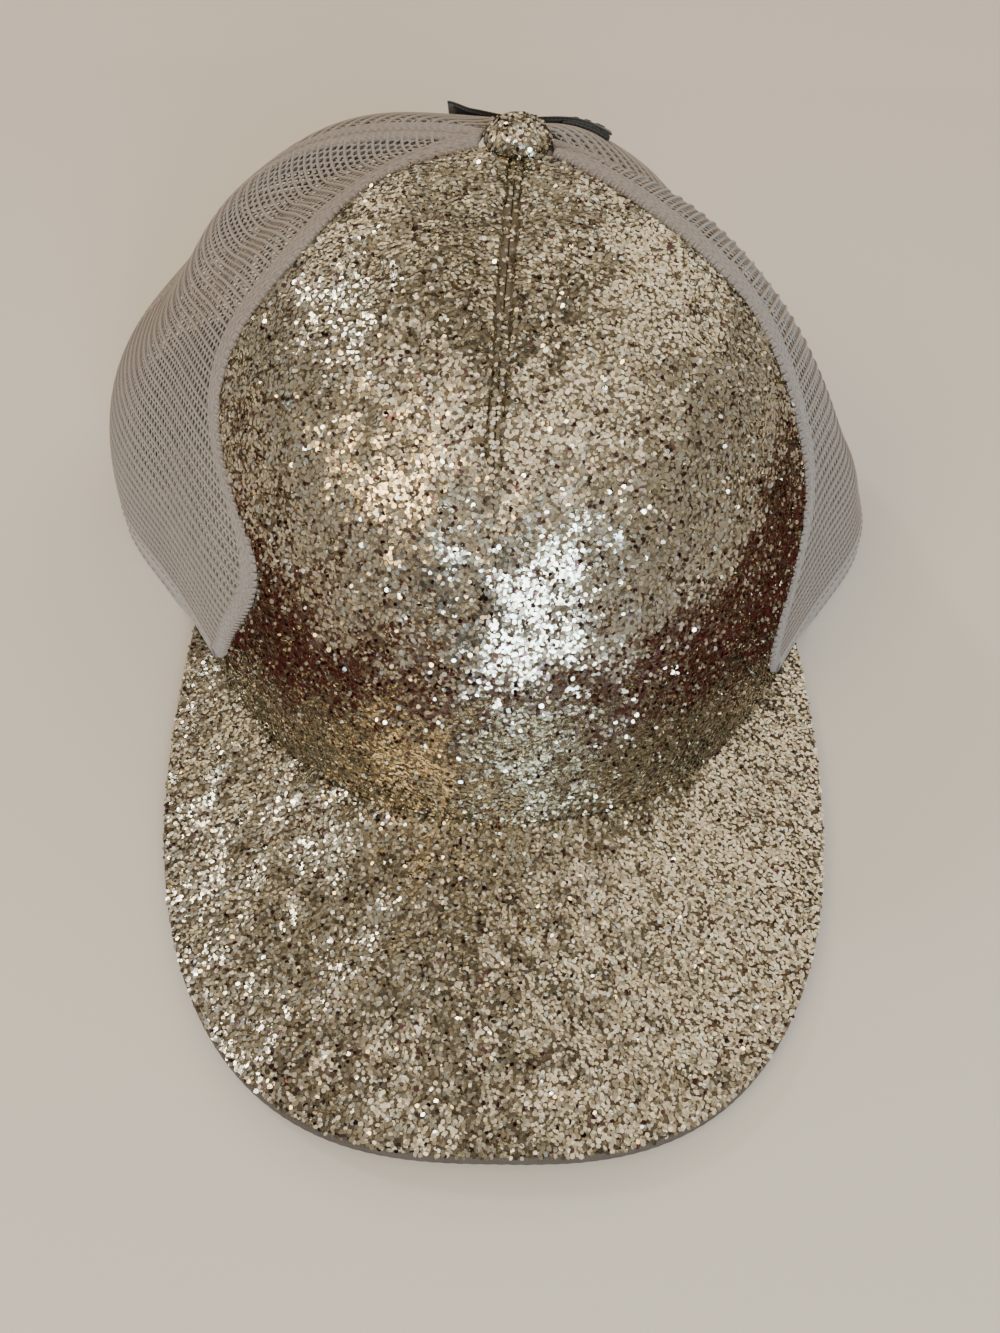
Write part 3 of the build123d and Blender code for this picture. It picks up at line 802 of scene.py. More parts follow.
# ---- Glitter ----
@dataclass
class Glitter:
    """Loose hexagonal flakes glued on cloth: flat tops that lie nearly level, and a few that stand up.

    Each flake is a closed tack, a hexagon over a point that is sunk in the glue.
    """

    density: float = 2.2         # flakes on a square millimetre
    most: int = 19500            # flakes in one piece
    radius: float = 0.55         # mm from the middle to a corner
    level_tilt: float = 3.8      # degrees, for flakes that lie level
    loose_tilt: float = 17.0     # degrees, for the others
    loose_share: float = 0.2
    drape: float = 3.5           # degrees that the glue's unevenness turns whole patches of flakes
    # "#543A3F", the plum flakes, is a painted reflection of a dark plum room, not a colour of the glitter.
    tints: tuple[str, ...] = ("#D6CFBD", "#C6BEA9", "#E4E1D6", "#ABA18C", "#726655", "#543A3F", "#DCE6E8")
    weights: tuple[float, ...] = (0.33, 0.29, 0.12, 0.12, 0.06, 0.04, 0.04)

    def scatter(self, grid: np.ndarray, seed: int, bare: np.ndarray | None = None) -> list[Surface]:
        """Flakes spread evenly over a grid of points.

        A sequence of even pairs is sent through the grid's area, so that each square millimetre gets the
        same number; then each flake is tilted about its own middle.

        Args:
            grid: the face that they lie on, of shape (rows, columns, 3), with outward normals by
                columns crossed with rows.
            seed: start of the random draws.
            bare: grid of chances that a flake there is missing.

        Returns:
            The flakes in order up the grid, as surfaces of not many more than `most` each, with tints.
        """
        rng = np.random.default_rng(seed)
        a, b = grid[:-1, 1:] - grid[:-1, :-1], grid[1:, :-1] - grid[:-1, :-1]
        c, d = grid[:-1, 1:] - grid[1:, 1:], grid[1:, :-1] - grid[1:, 1:]
        area = (np.linalg.norm(np.cross(a, b), axis=-1) + np.linalg.norm(np.cross(c, d), axis=-1)) / 2
        count = int(area.sum() * self.density)
        steps = np.arange(1, count + 1)[:, None] * EVEN_STEPS
        pairs = (steps + rng.random(2) + rng.normal(0, 0.35 / math.sqrt(count), (count, 2))) % 1.0
        by_row = np.concatenate([[0], np.cumsum(area.sum(1))]) / area.sum()
        up = np.interp(pairs[:, 1], by_row, np.arange(len(by_row)))
        row = np.minimum(up.astype(int), area.shape[0] - 1)
        by_column = np.concatenate([np.zeros((area.shape[0], 1)), np.cumsum(area, axis=1)], axis=1)
        by_column = by_column / by_column[:, -1:]
        column = (by_column[row, 1:] < pairs[:, :1]).sum(1).clip(0, area.shape[1] - 1)
        start, end = by_column[row, column], by_column[row, column + 1]
        part, lift = (pairs[:, 0] - start) / np.maximum(end - start, 1e-12), up - row
        if bare is not None:
            near_column, near_row = column + (part > 0.5), row + (lift > 0.5)
            stay = rng.random(count) > bare[near_row, near_column]
            row, column, part, lift, up = row[stay], column[stay], part[stay], lift[stay], up[stay]
        low = grid[row, column] * (1 - part)[:, None] + grid[row, column + 1] * part[:, None]
        high = grid[row + 1, column] * (1 - part)[:, None] + grid[row + 1, column + 1] * part[:, None]
        middle = low * (1 - lift)[:, None] + high * lift[:, None]
        along = unit(grid[row, column + 1] - grid[row, column])
        normal = unit(np.cross(along, high - low))
        pieces = int(np.ceil(len(up) / self.most))
        return [self.flakes(middle[chosen], along[chosen], normal[chosen], rng)
                for chosen in np.array_split(np.argsort(up), pieces)]

    def unevenness(self, places: np.ndarray) -> np.ndarray:
        """Smooth tilts of whole patches of flakes: sums of sine waves 5 to 32 mm long.

        Args:
            places: points, of shape (count, 3).

        Returns:
            Two tilts for each point, in degrees.
        """
        rng = np.random.default_rng(SEED)
        lengths = np.geomspace(5.0, 32.0, 9)
        waves = unit(rng.normal(0, 1, (2, 9, 3))) * (2 * np.pi / lengths)[None, :, None]
        phases = rng.uniform(0, 2 * np.pi, (2, 9))
        total = np.sin(np.einsum("nc,awc->naw", places, waves) + phases).sum(-1)
        usual = 2.1              # typical size of the sum of nine sines
        return self.drape * total / usual

    def flakes(self, middle: np.ndarray, along: np.ndarray, normal: np.ndarray,
               rng: np.random.Generator) -> Surface:
        """Flakes at given places.

        Args:
            middle: places on the cloth.
            along: a direction in the cloth at each.
            normal: outward normals.
            rng: the random draws.

        Returns:
            The flakes as one surface with tints.
        """
        count = len(middle)
        across = np.cross(normal, along)
        loose = rng.random(count) < self.loose_share
        tilt = np.radians(np.where(loose, self.loose_tilt, self.level_tilt))
        lean = rng.normal(0, 1, (count, 2)) * tilt[:, None] + np.radians(self.unevenness(middle))
        lean = np.clip(lean, -0.9, 0.9)
        top = unit(normal + along * np.tan(lean[:, :1]) + across * np.tan(lean[:, 1:]))
        spin = rng.random(count) * 2 * np.pi
        first = unit(np.cross(top, along * np.cos(spin)[:, None] + across * np.sin(spin)[:, None]))
        second = np.cross(top, first)
        size = self.radius * rng.uniform(0.82, 1.12, count)
        narrow = rng.uniform(0.62, 1.0, count)
        turn = np.linspace(0, 2 * np.pi, 6, endpoint=False)
        corners = (first[:, None] * (np.cos(turn) * size[:, None])[..., None]
                   + second[:, None] * (np.sin(turn) * (size * narrow)[:, None])[..., None])
        reach = size * np.sin(np.minimum(np.hypot(lean[:, 0], lean[:, 1]), 1.2))
        lift = 0.05 + 0.55 * reach + rng.uniform(0.0, 0.16, count)
        seat = middle + normal * lift[:, None]
        tip = middle - normal * 0.12
        points = np.concatenate([seat[:, None] + corners, tip[:, None]], axis=1)
        base = (np.arange(count) * 7)[:, None]
        hexagon = np.arange(6)[None, :] + base
        sides = np.stack([hexagon, np.broadcast_to(base + 6, hexagon.shape), np.roll(hexagon, -1, axis=1)],
                         axis=-1).reshape(-1, 3)
        shades = np.array([to_linear(code) for code in self.tints])
        pick = rng.choice(len(shades), count, p=np.array(self.weights) / sum(self.weights))
        tint = shades[pick] * rng.uniform(0.86, 1.0, (count, 1))
        tint[:, 3] = 1.0
        return Surface(points.reshape(-1, 3), [hexagon, sides], None, np.repeat(tint, 7, axis=0))


# ---- Front panels ----
@dataclass
class FrontPanels:
    """Two glitter-cloth panels on foam, joined by a puckered seam at the centre front."""

    crown: CrownShape
    maker: Maker
    cloth: float = 1.0
    foam: float = 2.0
    foam_edge: float = 2.5
    seam_gap: float = 0.15
    top_hole: float = 4.0
    groove_width: float = 1.5    # mm to each side of the centre seam
    groove_depth: float = 1.3
    line_depth: float = 0.7
    edge_depth: float = 0.55     # where the cloth turns in at the front seam
    line_place: float = 1.5      # mm from the centre seam to the stitched line beside it
    columns: int = 121
    rows: int = 131

    def tuck(self, beside: np.ndarray, phi: np.ndarray) -> np.ndarray:
        """How deep the cloth dips: a puckered groove high in the centre seam, and a stitched line beside it.

        Args:
            beside: distance from the centre seam in millimetres.
            phi: angle up from the rim.

        Returns:
            Depths in millimetres.
        """
        pucker = 1 + 0.35 * np.sin(np.radians(phi) * 55 + beside) * np.exp(-(beside / 3.2) ** 2)
        along = smooth_step(54.0, 64.0, phi) * (1 - smooth_step(77.0, 82.0, phi))
        wide = self.groove_depth * along * np.exp(-(beside / self.groove_width) ** 2)
        line = self.line_depth * smooth_step(40.0, 50.0, phi)
        line = line * np.exp(-((beside - self.line_place) / 0.45) ** 2)
        return pucker * (wide + line)

    def beside(self, u: np.ndarray, phi: np.ndarray) -> np.ndarray:
        """Distance from the centre seam in millimetres."""
        return np.abs(u - self.crown.centre_seam(phi)) * self.crown.speed(u, phi)

    def outer(self, side: Side) -> tuple[np.ndarray, np.ndarray, np.ndarray]:
        """The outer face of one panel.

        Args:
            side: which panel.

        Returns:
            Angles u and phi, and the points, as grids.
        """
        crown = self.crown
        u, phi = crown.strip(crown.beside_centre_seam(self.seam_gap, side),
                             crown.beside_front_seam(-self.seam_gap, side), lambda a: 0.0 * a,
                             crown.short_of_top(self.top_hole), self.columns, self.rows, side, warp=1.5)
        beside = self.beside(u, phi)
        edge = (crown.front_seam(phi, side) - np.abs(u)) * crown.speed(u, phi)
        depth = self.tuck(beside, phi) + self.edge_depth * np.exp(-(edge / 1.1) ** 2)
        return u, phi, crown.point(u, phi, depth)

    def build(self) -> None:
        """Cloth, flakes, foam and the tapes over the seams' backs."""
        crown = self.crown
        for side in Side:
            u, phi, outer = self.outer(side)
            dip = np.linalg.norm(outer - crown.point(u, phi), axis=-1)
            surface = shell(outer, crown.point(u, phi, self.cloth + dip * 0.4))
            cloth = self.maker.piece(f"glitter_cloth_{side.word}", surface, BACKING, "glitter_fabric",
                                     stands_for=(f"front_panel_{side.word}",))

            flip = side is Side.LEFT
            order = outer[:, ::-1] if flip else outer
            bare = self.bare_chance(self.beside(u, phi), phi)
            flakes = Glitter().scatter(order, SEED + int(flip), bare[:, ::-1] if flip else bare)
            for k, part in enumerate(flakes, 1):
                self.maker.piece(f"glitter_flakes_{side.word}_{k}", part, FLAKES, "glitter_fabric",
                                 smooth=False)
            self.foam_block(side)
            self.seam_tape(side)
        self.centre_tape()

    def bare_chance(self, beside: np.ndarray, phi: np.ndarray) -> np.ndarray:
        """Chance that a flake is missing: high in the groove near the top and on the lines beside it.

        Args:
            beside: distance from the centre seam in millimetres.
            phi: angles up from the rim.

        Returns:
            Chances from 0 to 1.
        """
        # Flakes left out here let the dark backing show in the groove and along the stitched line.
        along = smooth_step(56.0, 64.0, phi) * (1 - smooth_step(78.0, 81.0, phi))
        wide = along * np.exp(-(beside / 1.2) ** 2)
        line = smooth_step(44.0, 48.0, phi) * np.exp(-((beside - self.line_place) / 0.5) ** 4)
        return np.clip(0.85 * wide + 0.7 * line, 0, 1)

    def foam_block(self, side: Side) -> None:
        """The foam behind one panel, with a softly uneven inner face."""
        crown = self.crown
        u, phi = crown.strip(crown.beside_centre_seam(self.seam_gap, side),
                             crown.beside_front_seam(-self.foam_edge, side), lambda a: 0.3 + 0.0 * a,
                             crown.short_of_top(self.top_hole), 49, 61, side)
        front = self.cloth + 2.2 * LAYER_GAP
        wave = 0.15 * np.sin(u * 0.5) * np.sin(phi * 0.4)
        surface = shell(crown.point(u, phi, front + self.tuck(self.beside(u, phi), phi) * 0.4),
                        crown.point(u, phi, self.cloth + self.foam + wave))
        block = self.maker.piece(f"front_foam_cover_{side.word}", surface, FOAM, "foam",
                                 stands_for=(f"front_foam_{side.word}",))

    def seam_tape(self, side: Side) -> None:
        """The tape over the back of one front seam."""
        crown = self.crown
        run = crown.strip(crown.beside_front_seam(-13.0, side),
                          crown.beside_front_seam(-self.foam_edge, side), crown.above(32.0),
                          crown.short_of_top(23.0), 15, 61, side)
        tape_piece(crown, self.maker, f"front_seam_cover_{side.word}", run, self.cloth + self.foam + 0.24,
                   (f"side_seam_tape_{side.word}",))

    def centre_tape(self) -> None:
        """The tape over the back of the centre seam."""
        crown = self.crown
        edges = [crown.beside_centre_seam(distance, Side.RIGHT) for distance in (-6.5, 6.5)]
        run = crown.strip(*edges, crown.above(32.0), crown.short_of_top(10.0), 15, 61)
        tape_piece(crown, self.maker, "centre_seam_cover", run, self.cloth + self.foam + 0.24,
                   ("centre_seam_tape",))


def tape_piece(crown: CrownShape, maker: Maker, name: str, run: tuple[np.ndarray, np.ndarray], depth: float,
               stands_for: tuple[str, ...]) -> None:
    """A seam tape: thin at its selvedges, crowned over the seam, with a row of stitches near each edge.

    Args:
        crown: the crown that it lies in.
        maker: puts it in the scene.
        name: the piece's name.
        run: angles u and phi over the tape.
        depth: its outer face below the crown's.
        stands_for: the CAD nodes that it replaces.
    """
    u, phi = run
    share = np.linspace(-1, 1, u.shape[1])[None, :]
    belly = 0.62 - 0.3 * share ** 6
    outer, inner = crown.point(u, phi, depth), crown.point(u, phi, depth + belly)
    tape = maker.piece(name, shell(outer, inner), TAPE, "seam_tape", stands_for=stands_for)
    edges = [2, u.shape[1] - 3]
    inwards = -crown.normal(u, phi)
    rows = [stitch_run(inner[:, k], inwards[:, k], 3.0, 2.3, 0.2) for k in edges]
    maker.piece(f"{name}_stitches", joined(rows), THREAD, "seam_tape")


# ---- Mesh ----
@dataclass
class Gore:
    """One mesh panel as cloth coordinates: m, millimetres along a course from the middle meridian, and k,
    millimetres up that meridian."""

    crown: CrownShape
    side: Side
    middle: float                # degrees round from the centre front, on the right half
    first: Edge
    last: Edge
    top_radius: float
    lowest: float                # height of the lowest holes
    climb: np.ndarray = field(init=False)
    phis: np.ndarray = field(init=False)

    def __post_init__(self) -> None:
        """Measure the way up the middle meridian."""
        self.phis = np.linspace(0.0, 89.0, 357)
        spine = self.crown.face(np.full_like(self.phis, self.side.value * self.middle), self.phis)
        self.climb = arc_lengths(spine[:, None], 0)[:, 0]

    def pace(self, u: np.ndarray, phi: np.ndarray) -> np.ndarray:
        """Mean millimetres per degree between the middle meridian and u, by Simpson's rule."""
        side, middle = self.side.value, self.middle
        speeds = [self.crown.speed(side * place, phi) for place in (middle + 0 * u, (middle + u) / 2, u)]
        return (speeds[0] + 4 * speeds[1] + speeds[2]) / 6

    def angles(self, m: np.ndarray, k: np.ndarray) -> tuple[np.ndarray, np.ndarray]:
        """The angles of a place in the cloth.

        Args:
            m: millimetres along the course, positive away from the front.
            k: millimetres up the middle meridian.

        Returns:
            u on the right half, and phi.
        """
        phi = np.interp(k, self.climb, self.phis)
        u = self.middle + m / self.crown.speed(self.side.value * self.middle + 0 * m, phi)
        for _ in range(6):
            u = self.middle + m / self.pace(u, phi)
        return u, phi

    def reach(self, k: np.ndarray) -> tuple[np.ndarray, np.ndarray]:
        """Where the course at k meets the gore's two edges, as values of m."""
        phi = np.interp(k, self.climb, self.phis)
        first, last = self.first(phi), self.last(phi)
        return (first - self.middle) * self.pace(first, phi), (last - self.middle) * self.pace(last, phi)

    def place(self, m: np.ndarray, k: np.ndarray, depth: np.ndarray | float) -> np.ndarray:
        """Points of the cloth at a depth."""
        u, phi = self.angles(m, k)
        return self.crown.point(self.side.value * u, phi, depth)


@dataclass
class MeshPanels:
    """Four gores of knitted mesh: staggered rows of round holes, and a heavier course every second row."""

    crown: CrownShape
    maker: Maker
    row_pitch: float = 1.62      # mm between rows of holes
    hole_pitch: float = 1.9      # mm between holes in a row
    hole_share: float = 0.7      # a hole's radius as a share of its cell's
    strand: float = 0.24         # mm thickness of the knit at a hole's edge
    swell: float = 0.08          # mm more at the middle of a strand, on each face
    yarn_half_width: float = 0.4
    yarn_half_height: float = 0.36

    def build(self) -> None:
        """Side and back gores, the folded bands at their seams, and the bindings of the slit."""
        crown = self.crown
        for side in Side:
            front, seam = crown.beside_front_seam(2.0, side), crown.beside_meridian(crown.back_seam, -1.2)
            self.gore(f"side_mesh_knit_{side.word}", f"side_mesh_{side.word}", SEED + 10,
                      Gore(crown, side, 84.0, front, seam, 9.0, 10.4))
            behind, slit = crown.beside_meridian(crown.back_seam, 1.2), crown.beside_slit(4.8)
            self.gore(f"back_mesh_knit_{side.word}", f"back_mesh_{side.word}", SEED + 11,
                      Gore(crown, side, 145.0, behind, slit, 12.0, 10.4))
            self.seam_band(side)
            self.back_fold(side)
            self.binding(side)

    def gore(self, name: str, node: str, seed: int, gore: Gore) -> None:
        """Knit one gore.

        Args:
            name: the piece's name.
            node: the CAD node that it replaces.
            seed: start of the random draws.
            gore: its cloth coordinates and edges.
        """
        lattice = self.lattice(gore, seed)
        knit = self.maker.piece(name, joined([lattice, self.courses(gore)]), TULLE, "mesh_fabric",
                                stands_for=(node,))
        k = np.linspace(8.0, gore.climb[-1] - gore.top_radius, 60)
        low, high = gore.reach(k)
        share = np.linspace(0, 1, 30)[None, :]
        cut = gore.place(low[:, None] * (1 - share) + high[:, None] * share, k[:, None] + 0 * share, 0.0)

    def lattice(self, gore: Gore, seed: int) -> Surface:
        """The knit: a honeycomb of cells, each a hexagonal ring about its hole, on both faces of the cloth.

        Cells share corners, found by their whole-number lattice coordinates, so the knit is one closed
        surface.

        Args:
            gore: its cloth coordinates and edges.
            seed: start of the random draws.

        Returns:
            The knit without its heavier courses.
        """
        rng = np.random.default_rng(seed)
        rows = np.arange(1, int(gore.climb[-1] / self.row_pitch))
        columns = np.arange(-60, 61)
        j, i = (grid.ravel() for grid in np.meshgrid(rows, columns, indexing="ij"))
        m, k = (i + 0.5 * (j % 2)) * self.hole_pitch, j * self.row_pitch
        u, phi = gore.angles(m, k)
        low, high = gore.reach(k)
        middle = gore.place(m, k, 0.0)
        top = gore.crown.phi_at_radius(gore.side.value * u, gore.top_radius)
        inside = (m > low) & (m < high) & (middle[:, 2] > gore.lowest) & (phi < top)
        i, j, m, k = i[inside], j[inside], m[inside], k[inside]
        step_x, step_y = np.array([0, 1, 1, 0, -1, -1]), np.array([2, 1, -1, -2, -1, 1])
        key_x, key_y = (2 * i + j % 2)[:, None] + step_x, 3 * j[:, None] + step_y
        keys, first, corner = np.unique(key_x * 100003 + key_y, return_index=True, return_inverse=True)
        corner = corner.reshape(-1, 6)
        corner_m = key_x.ravel()[first] * self.hole_pitch / 2
        corner_k = key_y.ravel()[first] * self.row_pitch / 3
        size = self.hole_share * rng.uniform(0.9, 1.08, (len(m), 1))
        hole_m = m[:, None] + step_x * self.hole_pitch / 2 * size * 1.08
        hole_k = k[:, None] + step_y * self.row_pitch / 3 * size * 0.96
        all_m = np.concatenate([corner_m, hole_m.ravel()])
        all_k = np.concatenate([corner_k, hole_k.ravel()])
        swell = np.concatenate([np.full(len(keys), self.swell), np.zeros(hole_m.size)])
        count = len(all_m)
        points = np.concatenate([gore.place(all_m, all_k, 0.1 - swell),
                                 gore.place(all_m, all_k, 0.1 + self.strand + swell)])
        hole = (np.arange(len(m) * 6) + len(keys)).reshape(-1, 6)
        ring = np.stack([corner, np.roll(corner, -1, axis=1), np.roll(hole, -1, axis=1), hole], axis=-1)
        ring = ring.reshape(-1, 4)
        wall = np.stack([hole, np.roll(hole, -1, axis=1), np.roll(hole, -1, axis=1) + count, hole + count],
                        axis=-1).reshape(-1, 4)
        edges = np.stack([corner, np.roll(corner, -1, axis=1)], axis=-1).reshape(-1, 2)
        _, where, uses = np.unique(np.sort(edges, axis=1), axis=0, return_index=True, return_counts=True)
        rim = edges[where[uses == 1]]
        rim_wall = np.stack([rim[:, 1], rim[:, 0], rim[:, 0] + count, rim[:, 1] + count], axis=-1)
        threads = np.tile(np.stack([all_m, all_k], axis=-1), (2, 1))
        return Surface(points, [ring, ring[:, ::-1] + count, wall, rim_wall], threads).outwards()

    def courses(self, gore: Gore) -> Surface:
        """The heavier yarns along every second boundary between rows of holes.

        Args:
            gore: its cloth coordinates and edges.

        Returns:
            The yarns.
        """
        k = (np.arange(2, int(gore.climb[-1] / self.row_pitch), 2) + 0.5) * self.row_pitch
        low, high = gore.reach(k)
        centre = gore.place((low + high) / 2, k, 0.0)
        u, phi = gore.angles((low + high) / 2, k)
        top = gore.crown.phi_at_radius(gore.side.value * u, gore.top_radius)
        fits = (high - low > 6.0) & (centre[:, 2] > gore.lowest + 0.5) & (phi < top)
        k, low, high = k[fits], low[fits], high[fits]
        share = np.linspace(0, 1, 42)[None, :]
        m = low[:, None] * (1 - share) + high[:, None] * share
        u, phi = gore.angles(m, k[:, None] + 0 * m)
        side = gore.side.value
        return ridges(gore.crown.point(side * u, phi, -0.05), gore.crown.normal(side * u, phi),
                      self.yarn_half_width, self.yarn_half_height)

    def fold(self, name: str, u: np.ndarray, phi: np.ndarray, profile: np.ndarray, inner: float,
             replaced: tuple[str, ...]) -> None:
        """A folded band of mesh: a profile of depths across it, with small puckers along it.

        Args:
            name: the piece's name.
            u: angles over the band, columns across it.
            phi: angles up.
            profile: depth of the outer face at each column.
            inner: depth of the inner face.
            replaced: the CAD nodes that it stands for.
        """
        crown = self.crown
        flat = crown.point(u, phi)
        climb = arc_lengths(flat, 0)
        share = np.linspace(0, 1, u.shape[1])[None, :]
        pucker = 0.13 * np.sin(2 * np.pi * climb / 3.24 + 5 * share) * np.sin(np.pi * share)
        dimple = -0.1 * np.cos(2 * np.pi * climb / 1.62) * np.cos(share * 24)
        depth = profile[None, :] + pucker + dimple * np.sin(np.pi * share)
        surface = shell(crown.point(u, phi, depth), crown.point(u, phi, inner + 0 * depth))
        self.maker.piece(name, surface, FOLDED_TULLE, "folded_mesh", stands_for=replaced)

    def seam_band(self, side: Side) -> None:
        """The double fold beside a front seam, with its scalloped edge and its stitch row."""
        crown = self.crown
        u, phi = crown.strip(crown.beside_front_seam(0.1, side), crown.beside_front_seam(6.6, side),
                             crown.above(10.3), crown.short_of_top(9.0), 15, 201, side)
        climb = arc_lengths(crown.point(u, phi), 0)
        share = np.linspace(0, 1, u.shape[1])[None, :]
        scallop = 0.35 * np.sin(2 * np.pi * climb / 3.24) * share ** 3
        u = u + side.value * scallop / crown.speed(u, phi)
        s = share[0]
        profile = -0.42 + 1.3 * np.exp(-(s / 0.07) ** 2) + 0.38 * smooth_step(0.86, 1.0, s)
        self.fold(f"side_seam_fold_{side.word}", u, phi, profile, 1.25, (f"side_seam_band_{side.word}",))
        run = slice(2, -2)
        for column, word in ((4, "inner"), (10, "outer")):
            path = crown.point(u[run, column], phi[run, column], -0.42)
            stitches = stitch_run(path, crown.normal(u[run, column], phi[run, column]), 3.24, 2.1, 0.2)
            self.maker.piece(f"side_seam_{word}_stitches_{side.word}", stitches, THREAD, "folded_mesh")
        self.overlock(side)

    def overlock(self, side: Side) -> None:
        """Threads that whip the mesh's edge to the glitter cloth: short arched bars across the seam."""
        crown = self.crown
        phi = np.linspace(6.0, 84.0, 900)
        seam = crown.point(side.value * crown.front_seam(phi, side), phi)
        travelled, pitch = arc_lengths(seam[:, None], 0)[:, 0], 2.05
        at = np.interp(np.arange(1.0, travelled[-1], pitch), travelled, phi)[:, None]
        across = np.array([-0.1, 0.1, 0.6, 1.1, 1.3])
        u = side.value * crown.shifted(crown.front_seam(at, side), at, across)
        depth = np.array([0.5, 0.0, -0.35, 0.0, 0.5])
        angle = at + 0 * across
        bars = ridges(crown.point(u, angle, depth + 0 * u), crown.normal(u, angle), 0.3, 0.26)
        self.maker.piece(f"side_seam_overlock_{side.word}", bars, THREAD, "folded_mesh")

    def back_fold(self, side: Side) -> None:
        """The seam between side and back gores, folded flat, and the tape behind it."""
        crown = self.crown
        u, phi = crown.strip(crown.beside_meridian(crown.back_seam, -3.2),
                             crown.beside_meridian(crown.back_seam, 3.2), crown.above(10.3),
                             crown.short_of_top(9.0), 15, 161, side)
        s = np.linspace(-1, 1, 15)
        profile = -0.3 + 0.75 * np.exp(-(s / 0.13) ** 2) + 0.3 * smooth_step(0.85, 1.0, np.abs(s))
        self.fold(f"back_seam_fold_{side.word}", u, phi, profile, 0.85, ())
        edges = [crown.beside_meridian(crown.back_seam, distance) for distance in (-6.5, 6.5)]
        run = crown.strip(*edges, crown.above(32.0), crown.short_of_top(23.0), 15, 61, side)
        tape_piece(crown, self.maker, f"back_seam_cover_{side.word}", run, 1.02,
                   (f"back_seam_tape_{side.word}",))

    def binding(self, side: Side) -> None:
        """The folded tape that binds one edge of the slit, with a stitch row on its outer side."""
        crown = self.crown
        u, phi = crown.strip(crown.beside_slit(0.05), crown.beside_slit(6.0), crown.above(10.15),
                             crown.short_of_top(7.5), 13, 141, side)
        s = np.linspace(-1, 1, 13)
        depth = -0.3 + 0.62 * np.abs(s)[None, :] ** 8 + 0 * phi
        outer = crown.point(u, phi, depth)
        tape = shell(outer, crown.point(u, phi, 1.0 - depth))
        self.maker.piece(f"slit_edge_tape_{side.word}", tape, HEM_CLOTH, "hem_fabric",
                         stands_for=(f"slit_binding_{side.word}",))
        rows = [stitch_run(outer[1:-1, k], crown.normal(u[1:-1, k], phi[1:-1, k]), 3.0, 2.3, 0.2)
                for k in (2, 10)]
        self.maker.piece(f"slit_edge_stitches_{side.word}", joined(rows), THREAD, "hem_fabric")


